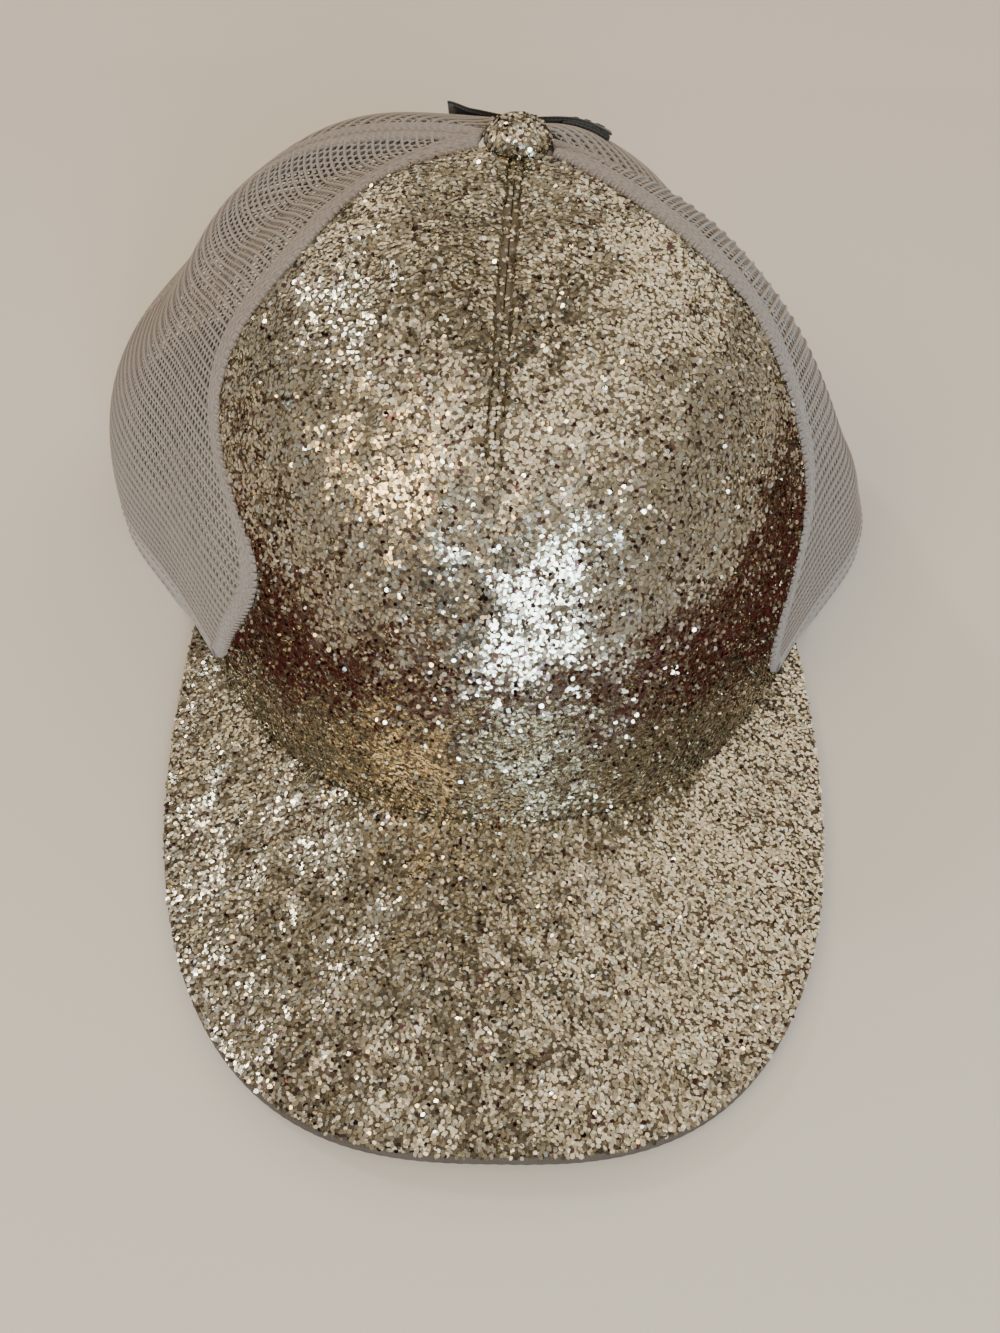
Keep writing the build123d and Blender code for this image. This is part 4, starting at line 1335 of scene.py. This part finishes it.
# ---- Rim ----
@dataclass
class Rim:
    """The hem round the mesh, and inside the rim the sweatband, its pad and a bare patch."""

    crown: CrownShape
    maker: Maker
    hem_height: float = 10.0
    hem_overlap: float = 0.9     # the hem's fold laps this far over the mesh
    visor_gap: float = 0.6
    band_height: float = 31.0
    band_thickness: float = 1.1
    hem_stack: float = 1.42
    front_stack: float = 4.76
    horn: float = 62.0

    def build(self) -> None:
        """All that runs round the rim."""
        for side in Side:
            self.hem(side)
        self.sweatband()
        self.pad()
        self.patch()

    def hem(self, side: Side) -> None:
        """A folded strip: a rounded section carried round the rim, with a row of stitches above and below.

        The section is a flat superellipse, and small puckers run along it at the stitch pitch.

        Args:
            side: the half of the rim.
        """
        crown = self.crown
        first = float(crown.beside_front_seam(0.2, side)(np.array(0.0)))
        last = float(crown.beside_slit(0.1)(np.array(0.0)))
        u = side.value * np.linspace(first, last, 301)[:, None]
        behind = crown.behind(u)
        low = crown.rim_height(u) + self.visor_gap * (1 - behind)
        high = self.hem_height + self.hem_overlap
        turn = np.linspace(0, 2 * np.pi, 28, endpoint=False)[None, :]
        rise = np.sign(np.sin(turn)) * np.abs(np.sin(turn)) ** 0.35
        out = np.sign(np.cos(turn)) * np.abs(np.cos(turn)) ** 0.45
        z = (low + high) / 2 + (high - low) / 2 * rise
        travelled = arc_lengths(crown.wall_point(u, 6.0 + 0 * u, 0.0), 0)
        pucker = 0.07 * np.sin(2 * np.pi * travelled / 3.0) * (1 - np.abs(rise)) ** 0.3
        groove = 0.16 * (np.exp(-((z - 8.6) / 0.55) ** 2) + np.exp(-((z - low - 1.9) / 0.55) ** 2))
        depth = 0.36 - (0.8 + pucker - groove) * out
        strip = swept(crown.wall_point(u + 0 * z, z, depth))
        self.maker.piece(f"rim_hem_fold_{side.word}", strip, HEM_CLOTH, "hem_fabric",
                         stands_for=(f"rim_hem_{side.word}",))
        rows = []
        for z_stitch in (8.6, 2.3):
            path_u = u[6:-3, 0]
            if z_stitch < 5.0:
                path_u = path_u[crown.behind(path_u) > 0.98]
            at = crown.wall_point(path_u, z_stitch + 0 * path_u, -0.36)
            rows.append(stitch_run(at, crown.normal(path_u, 2.0 + 0 * path_u), 3.0, 2.2, 0.2))
        self.maker.piece(f"rim_hem_stitches_{side.word}", joined(rows), THREAD, "hem_fabric")

    def band_depth(self, u: np.ndarray) -> np.ndarray:
        """The sweatband lies on the pad and foam in front and on the hem behind."""
        share = smooth_step(self.horn, self.horn + 20.0, np.abs(u))
        return self.front_stack + (self.hem_stack - self.front_stack) * share

    def sweatband(self) -> None:
        """A twill band, gently crowned and wavy at its free upper edge, with stitches along both edges."""
        crown = self.crown
        end = float(crown.beside_slit(0.2)(np.array(0.0)))
        u = np.linspace(-end, end, 361)[None, :]
        low = np.maximum(0.4, crown.rim_height(u) - 3.84)
        share = np.linspace(0, 1, 15)[:, None]
        z = low + (self.band_height - low) * share
        wave = 0.35 * np.sin(np.radians(u) * 19) * share ** 2
        depth = self.band_depth(u) + 0.1 + wave * (np.abs(u) > 66)
        thick = self.band_thickness - 0.2 * np.abs(2 * share - 1) ** 6
        outer = crown.wall_point(u + 0 * z, z, depth)
        inner = crown.wall_point(u + 0 * z, z, depth + thick)
        band = self.maker.piece("sweatband_twill", shell(outer, inner), SWEAT_TWILL, "sweatband_cotton",
                                stands_for=("sweatband",))
        inwards = -crown.normal(u[0], 2.0 + 0 * u[0])
        rows = [stitch_run(inner[k, 2:-2], inwards[2:-2], 3.0, 2.3, 0.2) for k in (1, 13)]
        self.maker.piece("sweatband_stitches", joined(rows), THREAD, "sweatband_cotton")

    def pad(self) -> None:
        """A thin quilted pad behind the forehead: full between its stitched lines."""
        crown = self.crown
        u = np.linspace(-42.0, 42.0, 169)[None, :]
        share = np.linspace(0, 1, 25)[:, None]
        low = crown.rim_height(u) + 1.0
        z = low + (27.0 - low) * share
        full = 0.72 + 0.62 * np.abs(np.cos(np.radians(u) * 15)) ** 0.5 * np.sin(np.pi * share) ** 0.4
        front = 3.3              # mm from the crown's outer face to the pad
        surface = shell(crown.wall_point(u + 0 * z, z, front + 0 * full),
                        crown.wall_point(u + 0 * z, z, front + full))
        pad = self.maker.piece("forehead_pad_quilted", surface, PAD_CLOTH, "foam",
                               stands_for=("forehead_pad",))

    def patch(self) -> None:
        """A small blank satin patch sewn inside the sweatband."""
        crown = self.crown
        half = 15.0 / float(crown.speed(np.array(-150.0), np.array(0.0)))
        u = np.linspace(-150.0 - half, -150.0 + half, 31)[None, :]
        z = np.linspace(6.5, 24.5, 19)[:, None]
        depth = self.band_depth(u) + self.band_thickness + 0.35
        outer = crown.wall_point(u + 0 * z, z + 0 * u, depth)
        inner = crown.wall_point(u + 0 * z, z + 0 * u, depth + 0.3)
        patch = self.maker.piece("inner_satin_patch", shell(outer, inner), SATIN, "satin_patch",
                                 stands_for=("inner_patch",))
        inwards = -crown.normal(u[0], 5.0 + 0 * u[0])
        rows = [stitch_run(inner[k], inwards, 2.2, 1.6, 0.14) for k in (1, -2)]
        self.maker.piece("inner_patch_stitches", joined(rows), THREAD, "satin_patch")


# ---- Visor ----
@dataclass
class VisorShape:
    """The visor's top face: straight lines from the arched rim to half a superellipse, horn to horn."""

    crown: CrownShape
    length: float = 74.0
    half_width: float = 83.0
    squareness: float = 2.75
    tip_rise: float = 4.7
    end_angle: float = 58.0
    foot: float = 0.1
    thickness: float = 3.74
    rim_inset: float = 3.24

    def outline(self, theta: np.ndarray, inset: np.ndarray | float) -> np.ndarray:
        """Outer edge of the top face, from horn (-90) over tip (0) to horn (90), set in by a distance."""
        a = np.radians(theta)
        side, ahead = np.abs(np.sin(a)), np.maximum(np.cos(a), 0.0)
        n = self.squareness
        radius = (side ** n + ahead ** n) ** (-1 / n)
        temple, reach = self.crown.rim_y[2], -self.crown.rim_y[0]
        x = np.sign(a) * (self.half_width - inset) * radius * side
        y = temple - (reach + self.length + temple - inset) * radius * ahead
        return np.stack([x, y, self.foot + self.thickness + self.tip_rise * ahead ** 2 + 0 * x], axis=-1)

    def point(self, t: np.ndarray, s: np.ndarray, inset: float,
              depth: np.ndarray | float = 0.0) -> np.ndarray:
        """Points of the top face."""
        face = self.face(t, s, inset)
        return face - self.normal(t, s, inset) * (np.asarray(depth, float) + 0 * face[..., 0])[..., None]

    def face(self, t: np.ndarray, s: np.ndarray, inset: float) -> np.ndarray:
        """The ruled top face without a depth."""
        u = t * self.end_angle
        seam = self.crown.point(u, 0 * u, self.rim_inset)
        seam[..., 2] = self.crown.rim_height(u) - 0.15
        return seam * (1 - s)[..., None] + self.outline(t * 90.0, inset) * s[..., None]

    def normal(self, t: np.ndarray, s: np.ndarray, inset: float) -> np.ndarray:
        """Upward unit normals of the top face."""
        step = 0.01
        across = self.face(np.minimum(t + step, 1), s, inset) - self.face(np.maximum(t - step, -1), s, inset)
        ahead = self.face(t, np.minimum(s + step, 1), inset) - self.face(t, np.maximum(s - step, 0), inset)
        return unit(np.cross(ahead, across))


@dataclass
class Visor:
    """A plastic board between a glitter cover and a twill under cover, bound at its edge."""

    shape: VisorShape
    maker: Maker
    inset: float = 1.02
    cover: float = 0.9

    def build(self) -> None:
        """Covers, flakes and the bound edge."""
        shape = self.shape
        t, s = np.meshgrid(np.linspace(-1, 1, 201), np.linspace(0, 1, 61))
        outer = shape.point(t, s, self.inset)
        inner = shape.point(t, s, self.inset, self.cover)
        cover = self.maker.piece("visor_glitter_cloth", shell(outer, inner), BACKING, "glitter_fabric",
                                 stands_for=("visor_top_cover",))
        face = shape.point(t, s, 0.15)[:, ::-1]
        under_crown = (s < 0.04).astype(float)
        for k, part in enumerate(Glitter().scatter(face, SEED + 5, under_crown), 1):
            self.maker.piece(f"visor_glitter_flakes_{k}", part, FLAKES, "glitter_fabric", smooth=False)
        self.under_cover(t, s)
        self.bound_edge()
        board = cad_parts["visor_board"]
        dress(board, BOARD)

    def under_cover(self, t: np.ndarray, s: np.ndarray) -> None:
        """The twill under the board, with rows of stitches that follow the outline."""
        shape = self.shape
        top = self.cover + 2.0 + 2 * LAYER_GAP
        low = top + 0.6 - 0.25 * smooth_step(0.93, 1.0, s)
        upper, lower = shape.point(t, s, self.inset, top), shape.point(t, s, self.inset, low)
        cloth = self.maker.piece("visor_under_twill", shell(upper, lower), UNDER_CLOTH, "visor_under_fabric",
                                 stands_for=("visor_under_cover",))
        rows = []
        for share in (0.91, 0.78, 0.65):
            line_t = np.linspace(-0.96, 0.96, 260)
            line_s = np.full_like(line_t, share)
            path = shape.point(line_t, line_s, self.inset, top + 0.6)
            rows.append(stitch_run(path, -shape.normal(line_t, line_s, self.inset), 3.0, 2.3, 0.16))
        self.maker.piece("visor_under_stitches", joined(rows), THREAD, "visor_under_fabric")

    def bound_edge(self) -> None:
        """The cloth turned round the board's edge: a rounded upright section carried along the outline."""
        shape = self.shape
        theta = np.linspace(-90.0, 90.0, 361)
        path = shape.outline(theta, 0.0)
        along = unit(np.gradient(path, axis=0))
        out = unit(np.cross(along, [0.0, 0.0, 1.0]))
        turn = np.linspace(0, 2 * np.pi, 18, endpoint=False)
        half = shape.thickness / 2
        wide = np.sign(np.cos(turn)) * np.abs(np.cos(turn)) ** 0.6
        tall = np.sign(np.sin(turn)) * np.abs(np.sin(turn)) ** 0.45
        travelled = arc_lengths(path[:, None], 0)
        pucker = 0.05 * np.sin(2 * np.pi * travelled / 2.7)
        width = 0.47 + pucker
        points = (path[:, None] - out[:, None] * 0.47 + out[:, None] * (width * wide)[..., None]
                  + np.array([0, 0, 1.0]) * (half * tall - half)[None, :, None])
        self.maker.piece("visor_edge_binding", swept(points), EDGE_CLOTH, "visor_edge_fabric",
                         stands_for=("visor_edge_wrap",))


def dress(node: bpy.types.Object, finish: HardFinish) -> None:
    """Give a CAD node a finish in place of its own."""
    node.data.materials.clear()
    node.data.materials.append(finish.material())


# ---- Button ----
@dataclass
class Button:
    """The covered top button: glitter cloth gathered over a pressed dome."""

    crown: CrownShape
    maker: Maker
    radius: float = 7.5
    height: float = 5.5
    cloth: float = 0.9

    def dome(self, radius: float, height: float, turns: np.ndarray, rises: np.ndarray) -> np.ndarray:
        """Quarter of an ellipse turned about the top's vertical line, with soft gathers low on it.

        Args:
            radius: radius at the foot.
            height: height of the dome.
            turns: angles round, as columns.
            rises: angles up the quarter, as rows.

        Returns:
            Grid of points.
        """
        gather = 1 + 0.018 * np.cos(12 * turns) * np.cos(rises) ** 3
        out = radius * np.cos(rises) * gather
        base = self.crown.height + LAYER_GAP
        return np.stack([out * np.cos(turns), self.crown.top_shift + out * np.sin(turns),
                         base + height * np.sin(rises) + 0 * turns], axis=-1)

    def build(self) -> None:
        """The cover and its flakes; the pressed dome, washer and stem keep their CAD shapes."""
        turns = np.linspace(0, 2 * np.pi, 73)[None, :]
        rises = np.linspace(0.0, 0.5 * np.pi - 0.02, 25)[:, None]
        outer = self.dome(self.radius, self.height, turns, rises)
        inner = self.dome(self.radius - self.cloth, self.height - self.cloth, turns, rises)
        self.maker.piece("button_glitter_cloth", shell(outer, inner), BACKING, "glitter_fabric",
                         stands_for=("button_cover",))
        glitter = Glitter(density=2.6, level_tilt=9.0)
        flakes = glitter.scatter(outer, SEED + 7)[0]
        self.maker.piece("button_glitter_flakes", flakes, FLAKES, "glitter_fabric", smooth=False)
        for name in ("button_shell", "button_washer", "button_stem"):
            dress(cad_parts[name], STEEL)


# ---- Straps ----
@dataclass
class Strap:
    """One strap across the slit: webbing sewn down on the right, hooks on its free end, loops below."""

    crown: CrownShape
    maker: Maker
    name: str
    phi: float
    hinge: float
    reach: float
    curl: float = 0.0            # mm that the free end stands up
    curl_length: float = 13.0    # mm of strap that rises
    width: float = 18.0
    thickness: float = 1.0
    lift: float = 0.45
    tape: float = 0.6
    tape_gap: float = 0.35
    anchor: float = 12.0
    margin: float = 1.5
    hook_length: float = 16.0

    @property
    def band_lift(self) -> float:
        """Underside of the webbing above the crown's face."""
        return self.lift + 2 * self.tape + self.tape_gap + LAYER_GAP

    def place(self, x: np.ndarray, rise: np.ndarray, stand: np.ndarray | float) -> np.ndarray:
        """Points above a place of the tangent plane at the strap's middle, found by Newton's method.

        Args:
            x: millimetres across the slit.
            rise: millimetres up the crown.
            stand: height above the crown's face.

        Returns:
            Points with a last axis of three.
        """
        crown = self.crown
        x, rise = np.broadcast_arrays(np.asarray(x, float), np.asarray(rise, float))
        centre, normal = crown.face(np.array(180.0), np.array(self.phi)), crown.normal(np.array(180.0),
                                                                                       np.array(self.phi))
        across = np.array([1.0, 0.0, 0.0])
        upright = unit(np.cross(across, normal))
        phi = np.full(x.shape, self.phi)
        u = crown.shifted(180.0, phi, -x)
        step = 0.2
        for _ in range(12):
            miss = crown.face(u, phi) - centre
            by_u = (crown.face(u + step, phi) - crown.face(u - step, phi)) * (0.5 / step)
            by_phi = (crown.face(u, phi + step) - crown.face(u, phi - step)) * (0.5 / step)
            a, b, c, d = by_u @ across, by_phi @ across, by_u @ upright, by_phi @ upright
            e, f = x - miss @ across, rise - miss @ upright
            u = u + (e * d - b * f) / (a * d - b * c)
            phi = phi + (a * f - c * e) / (a * d - b * c)
        return crown.point(u, phi, -np.asarray(stand, float) + 0 * x)

    def stand(self, x: np.ndarray, lift: float) -> np.ndarray:
        """The free end of the strap curls away from the crown."""
        free = smooth_step(-self.reach + self.curl_length, -self.reach, x)
        return lift + self.curl * free

    def sheet(self, first: float, last: float, width: float, lift: float, thickness: float,
              columns: int, rows: int, follow: bool) -> tuple[np.ndarray, np.ndarray]:
        """Grids of the outer and inner face of a band across the slit, thinner at its two selvedges.

        Args:
            first: x of one end.
            last: x of the other.
            width: its width.
            lift: underside above the crown's face.
            thickness: its thickness.
            columns: points along it.
            rows: points across it.
            follow: whether it curls up with the free end.

        Returns:
            Outer and inner grids, of shape (rows, columns, 3).
        """
        x = np.linspace(first, last, columns)[None, :]
        rise = (np.linspace(-0.5, 0.5, rows) * width)[:, None]
        base = self.stand(x, lift) if follow else lift + 0 * x
        slim = 0.28 * thickness * np.abs(2 * rise / width) ** 10
        return self.place(x, rise, base + thickness - slim), self.place(x, rise, base + slim + 0 * rise)

    def build(self) -> None:
        """Webbing, its hook tape, the loop tape on the crown and the sewn-down end."""
        body, lift = f"{self.name}_flap", self.band_lift
        end = -self.reach
        outer, inner = self.sheet(end, self.hinge + self.anchor, self.width, lift, self.thickness, 93, 19,
                                  True)
        webbing = self.maker.piece(f"{self.name}_webbing", shell(outer, inner), WEBBING, "strap_webbing",
                                   body="", stands_for=(f"{self.name}_strap",))
        start = (self.place(np.array(self.hinge + 0.6), np.array(0.0), lift) + self.maker.shift) * MM
        stop = (self.place(np.array(self.hinge - 2.6), np.array(0.0), lift) + self.maker.shift) * MM
        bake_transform(webbing)
        fold = self.sheet(self.hinge + 0.7, self.hinge + self.anchor, self.width, self.lift,
                          lift - self.lift - 0.02, 15, 19, False)
        self.maker.piece(f"{self.name}_webbing_fold", shell(*fold), WEBBING, "strap_webbing",
                         stands_for=(f"{self.name}_strap_anchor",))
        self.hooks(body, end)
        self.loops(end)
        self.box_stitch()

    def hooks(self, body: str, end: float) -> None:
        """The hook tape under the free end: a thin base with rows of small hooks bent over.

        Args:
            body: the body that it moves with.
            end: x of the strap's free end.
        """
        width, lift = self.width - 2 * self.margin, self.band_lift - LAYER_GAP - 0.24
        first, last = end + self.margin, end + self.margin + self.hook_length
        base = shell(*self.sheet(first, last, width, lift, 0.3, 25, 13, True))
        x, rise = np.meshgrid(np.arange(first + 0.8, last - 0.5, 1.15),
                              np.arange(-width / 2 + 0.8, width / 2 - 0.4, 1.3))
        x, rise = x.ravel()[:, None], rise.ravel()[:, None]
        bend = np.array([0.0, 0.0, 0.1, 0.34, 0.5])
        drop = np.array([0.0, 0.14, 0.27, 0.33, 0.24])
        path = self.place(x + bend, rise + 0 * bend, self.stand(x, lift) - drop)
        normals = self.place(x + bend, rise + 0 * bend, self.stand(x, lift) + 1.0 - drop) - path
        along = unit(np.gradient(path, axis=1))
        sideways = unit(np.cross(along, unit(normals) + 0.01))
        hooks = ridges(path, sideways, 0.09, 0.12, sides=4)
        self.maker.piece(f"{self.name}_hook_tape", joined([base, hooks]), HOOK_TAPE, "hook_tape", body=body,
                         stands_for=(f"{self.name}_hook_patch",))

    def loops(self, end: float) -> None:
        """The loop tape on the crown: a thin base under many small arched threads.

        Args:
            end: x of the strap's free end.
        """
        width = self.width - 2 * self.margin
        first, last = end + self.margin, end + self.margin + self.hook_length
        base = shell(*self.sheet(first, last, width, self.lift, 0.35, 25, 13, False))
        rng = np.random.default_rng(SEED + int(self.phi))
        count = 420
        x = rng.uniform(first + 0.7, last - 0.7, (count, 1))
        rise = rng.uniform(-width / 2 + 0.6, width / 2 - 0.6, (count, 1))
        turn = rng.uniform(0, 2 * np.pi, (count, 1))
        span = np.array([-0.45, -0.4, 0.0, 0.4, 0.45])
        tall = np.array([0.0, 0.2, 0.36, 0.2, 0.0]) * rng.uniform(0.6, 1.0, (count, 1))
        at_x, at_rise = x + span * np.cos(turn), rise + span * np.sin(turn)
        path = self.place(at_x, at_rise, self.lift + 0.33 + tall)
        sideways = self.place(at_x - np.sin(turn), at_rise + np.cos(turn), self.lift + 0.33 + tall) - path
        threads = ridges(path, unit(sideways), 0.05, 0.05, sides=3)
        self.maker.piece(f"{self.name}_loop_tape", joined([base, threads]), LOOP_TAPE, "loop_tape",
                         stands_for=(f"{self.name}_loop_patch",))

    def box_stitch(self) -> None:
        """A square of stitches with a cross in it, through the sewn-down end."""
        low, high = self.hinge + 2.2, self.hinge + self.anchor - 1.6
        half = self.width / 2 - 2.2
        corners = [(low, -half), (high, -half), (high, half), (low, half), (low, -half), (high, half)]
        lines = [(corners[k], corners[k + 1]) for k in range(5)] + [((low, half), (high, -half))]
        runs = []
        share = np.linspace(0, 1, 30)
        for (x0, r0), (x1, r1) in lines:
            x, rise = x0 + (x1 - x0) * share, r0 + (r1 - r0) * share
            path = self.place(x, rise, self.band_lift + self.thickness)
            above = self.place(x, rise, self.band_lift + self.thickness + 1.0)
            runs.append(stitch_run(path, above - path, 2.4, 1.9, 0.18))
        self.maker.piece(f"{self.name}_box_stitches", joined(runs), BLACK_THREAD, "strap_webbing")


# ---- Studio ----
@dataclass
class Studio:
    """A pale floor, soft panels of light, cards that only reflections show, and the camera."""

    crown: CrownShape
    maker: Maker
    eye: tuple[float, float, float] = (-8.49, -249.74, 249.87)    # mm from the crown's axis
    yaw: float = 2.6
    pitch: float = -50.57
    roll: float = 3.61
    lens: float = 31.97

    def build(self) -> None:
        """Everything that isn't the cap."""
        self.floor()
        self.flags()
        self.sky()
        self.lights()
        self.camera()

    def floor(self) -> None:
        """A wide matt floor."""
        half = 4.0
        mesh = bpy.data.meshes.new("floor")
        mesh.from_pydata([(-half, -half, 0), (half, -half, 0), (half, half, 0), (-half, half, 0)], [],
                         [(0, 1, 2, 3)])
        material, shader = new_material("matt_floor_paint", Roughness=0.85)
        shader.inputs["Base Color"].default_value = to_linear("#DAD5CE")
        mesh.materials.append(material)
        floor = bpy.data.objects.new("floor", mesh)
        bpy.context.scene.collection.objects.link(floor)

    def card(self, name: str, corners: list[tuple[float, float, float]], colour: str) -> None:
        """A dull card that shows only as a reflection, the way a studio shapes what metal mirrors.

        Args:
            name: its name.
            corners: its four corners in metres.
            colour: sRGB hex.
        """
        mesh = bpy.data.meshes.new(name)
        mesh.from_pydata(corners, [], [(0, 1, 2, 3)])
        material, shader = new_material(name + "_felt", Roughness=1.0, Specular_IOR_Level=0.0)
        shader.inputs["Base Color"].default_value = to_linear(colour)
        mesh.materials.append(material)
        card = bpy.data.objects.new(name, mesh)
        card.visible_camera = card.visible_diffuse = card.visible_shadow = card.visible_transmission = False
        bpy.context.scene.collection.objects.link(card)

    def flags(self) -> None:
        """A wine-red card under the cap, and dark cards overhead, over the left and in front."""
        half, above_floor = 0.36, 0.0015
        self.card("table_card", [(-half, -half, above_floor), (half, -half, above_floor),
                                 (half, half, above_floor), (-half, half, above_floor)], "#4A2022")
        self.card("ceiling_card", [(-0.3, 0.05, 1.6), (0.16, 0.05, 1.6), (0.16, 0.85, 1.6),
                                   (-0.3, 0.85, 1.6)], "#231C1A")
        self.card("left_card", [(-2.0, 0.3, 1.75), (-0.75, 0.3, 1.75), (-0.75, 1.2, 1.75),
                                (-2.0, 1.2, 1.75)], "#3A332E")
        self.card("front_card", [(-1.1, -2.0, 0.0), (-0.05, -2.0, 0.0), (-0.05, -2.0, 0.9),
                                 (-1.1, -2.0, 0.9)], "#2B1B1E")

    def sky(self) -> None:
        """Even pale light from all round, warmer overhead than at the horizon."""
        world = bpy.data.worlds.new("room")
        world.use_nodes = True
        bpy.context.scene.world = world
        tree = world.node_tree
        back = next(n for n in tree.nodes if n.type == "BACKGROUND")
        way = add_node(tree, "ShaderNodeTexCoord")
        parts = add_node(tree, "ShaderNodeSeparateXYZ", {0: way.outputs["Generated"]})
        rise = add_node(tree, "ShaderNodeMapRange", {0: parts.outputs[2], 1: 0.05, 2: 0.75})
        tone = add_node(tree, "ShaderNodeMix", {0: rise.outputs[0], 6: to_linear("#C4BBB0"),
                                                7: to_linear("#CDBFA8")}, data_type="RGBA")
        tree.links.new(tone.outputs[2], back.inputs[0])
        back.inputs[1].default_value = 0.8

    def lamp(self, name: str, place: tuple[float, float, float], size: tuple[float, float], power: float,
             colour: str, aim: tuple[float, float, float] = (0.0, 0.0, 0.05)) -> None:
        """A rectangular soft light.

        Args:
            name: its name.
            place: where it stands, in metres.
            size: its width and height.
            power: watts.
            colour: sRGB hex.
            aim: the point that it faces.
        """
        data = bpy.data.lights.new(name, "AREA")
        data.shape, data.size, data.size_y = "RECTANGLE", size[0], size[1]
        data.energy, data.color = power, to_linear(colour)[:3]
        lamp = bpy.data.objects.new(name, data)
        lamp.location = place
        away = np.array(place) - np.array(aim)
        side = unit(np.cross([0.0, 0.0, 1.0], away))
        up = np.cross(unit(away), side)
        lamp.rotation_mode = "QUATERNION"
        lamp.rotation_quaternion = Matrix(np.stack([side, up, unit(away)], axis=1)).to_quaternion()
        lamp.visible_camera = False
        bpy.context.scene.collection.objects.link(lamp)

    def lights(self) -> None:
        """Three warm ceiling panels, a cool window in front and two smaller lamps on the left."""
        self.lamp("ceiling_right", (0.95, 1.0, 1.45), (1.5, 1.5), 8.0, "#FFF0D6")
        self.lamp("ceiling_left", (-0.9, 1.9, 1.45), (1.3, 0.9), 5.0, "#FFEBCB")
        self.lamp("ceiling_front", (0.1, -0.55, 1.8), (1.8, 1.0), 8.0, "#FFF0DC")
        self.lamp("window", (0.26, -1.3, 0.4), (0.42, 0.8), 18.0, "#DDF3FF")
        self.lamp("left_lamp", (-0.85, -0.85, 1.15), (0.5, 0.5), 9.0, "#FFDDAB")
        self.lamp("left_bulb", (-1.3, 0.75, 1.65), (0.22, 0.22), 7.0, "#F4F1E8")

    def camera(self) -> None:
        """The camera, from its place and its yaw, pitch and roll."""
        yaw, pitch, roll = (math.radians(a) for a in (self.yaw, self.pitch, self.roll))
        ahead = np.array([math.sin(yaw) * math.cos(pitch), math.cos(yaw) * math.cos(pitch), math.sin(pitch)])
        right = unit(np.cross(ahead, [0.0, 0.0, 1.0]))
        up = np.cross(right, ahead)
        x = right * math.cos(roll) + up * math.sin(roll)
        y = up * math.cos(roll) - right * math.sin(roll)
        data = bpy.data.cameras.new("camera")
        data.lens, data.sensor_width, data.clip_start = self.lens, 36.0, 0.01
        camera = bpy.data.objects.new("camera", data)
        turn = Matrix(np.stack([x, y, -ahead], axis=1)).to_4x4()
        turn.translation = (np.array(self.eye) + self.maker.shift) * MM
        camera.matrix_world = turn
        bpy.context.scene.collection.objects.link(camera)
        bpy.context.scene.camera = camera


def main() -> None:
    """Build the cap from its front to its back, then the studio."""
    logging.basicConfig(level=logging.INFO, format="%(name)s %(message)s")
    low, high = (np.array(corner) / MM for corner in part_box("button_cover"))
    crown = CrownShape(height=float(low[2]) - LAYER_GAP)
    middle = (low + high) / 2
    maker = Maker(np.array([middle[0], middle[1] - crown.top_shift, 0.0]))
    FrontPanels(crown, maker).build()
    MeshPanels(crown, maker).build()
    Rim(crown, maker).build()
    Visor(VisorShape(crown), maker).build()
    Button(crown, maker).build()
    Strap(crown, maker, "bottom", phi=5.0, hinge=15.0, reach=34.0).build()
    Strap(crown, maker, "middle", phi=27.0, hinge=15.0, reach=34.0).build()
    Strap(crown, maker, "top", phi=67.5, hinge=12.0, reach=15.5, curl=0.9, curl_length=6.0, hook_length=10.0,
          lift=0.2, tape_gap=0.15, thickness=0.8).build()
    Studio(crown, maker).build()


if __name__ == "__main__":
    main()
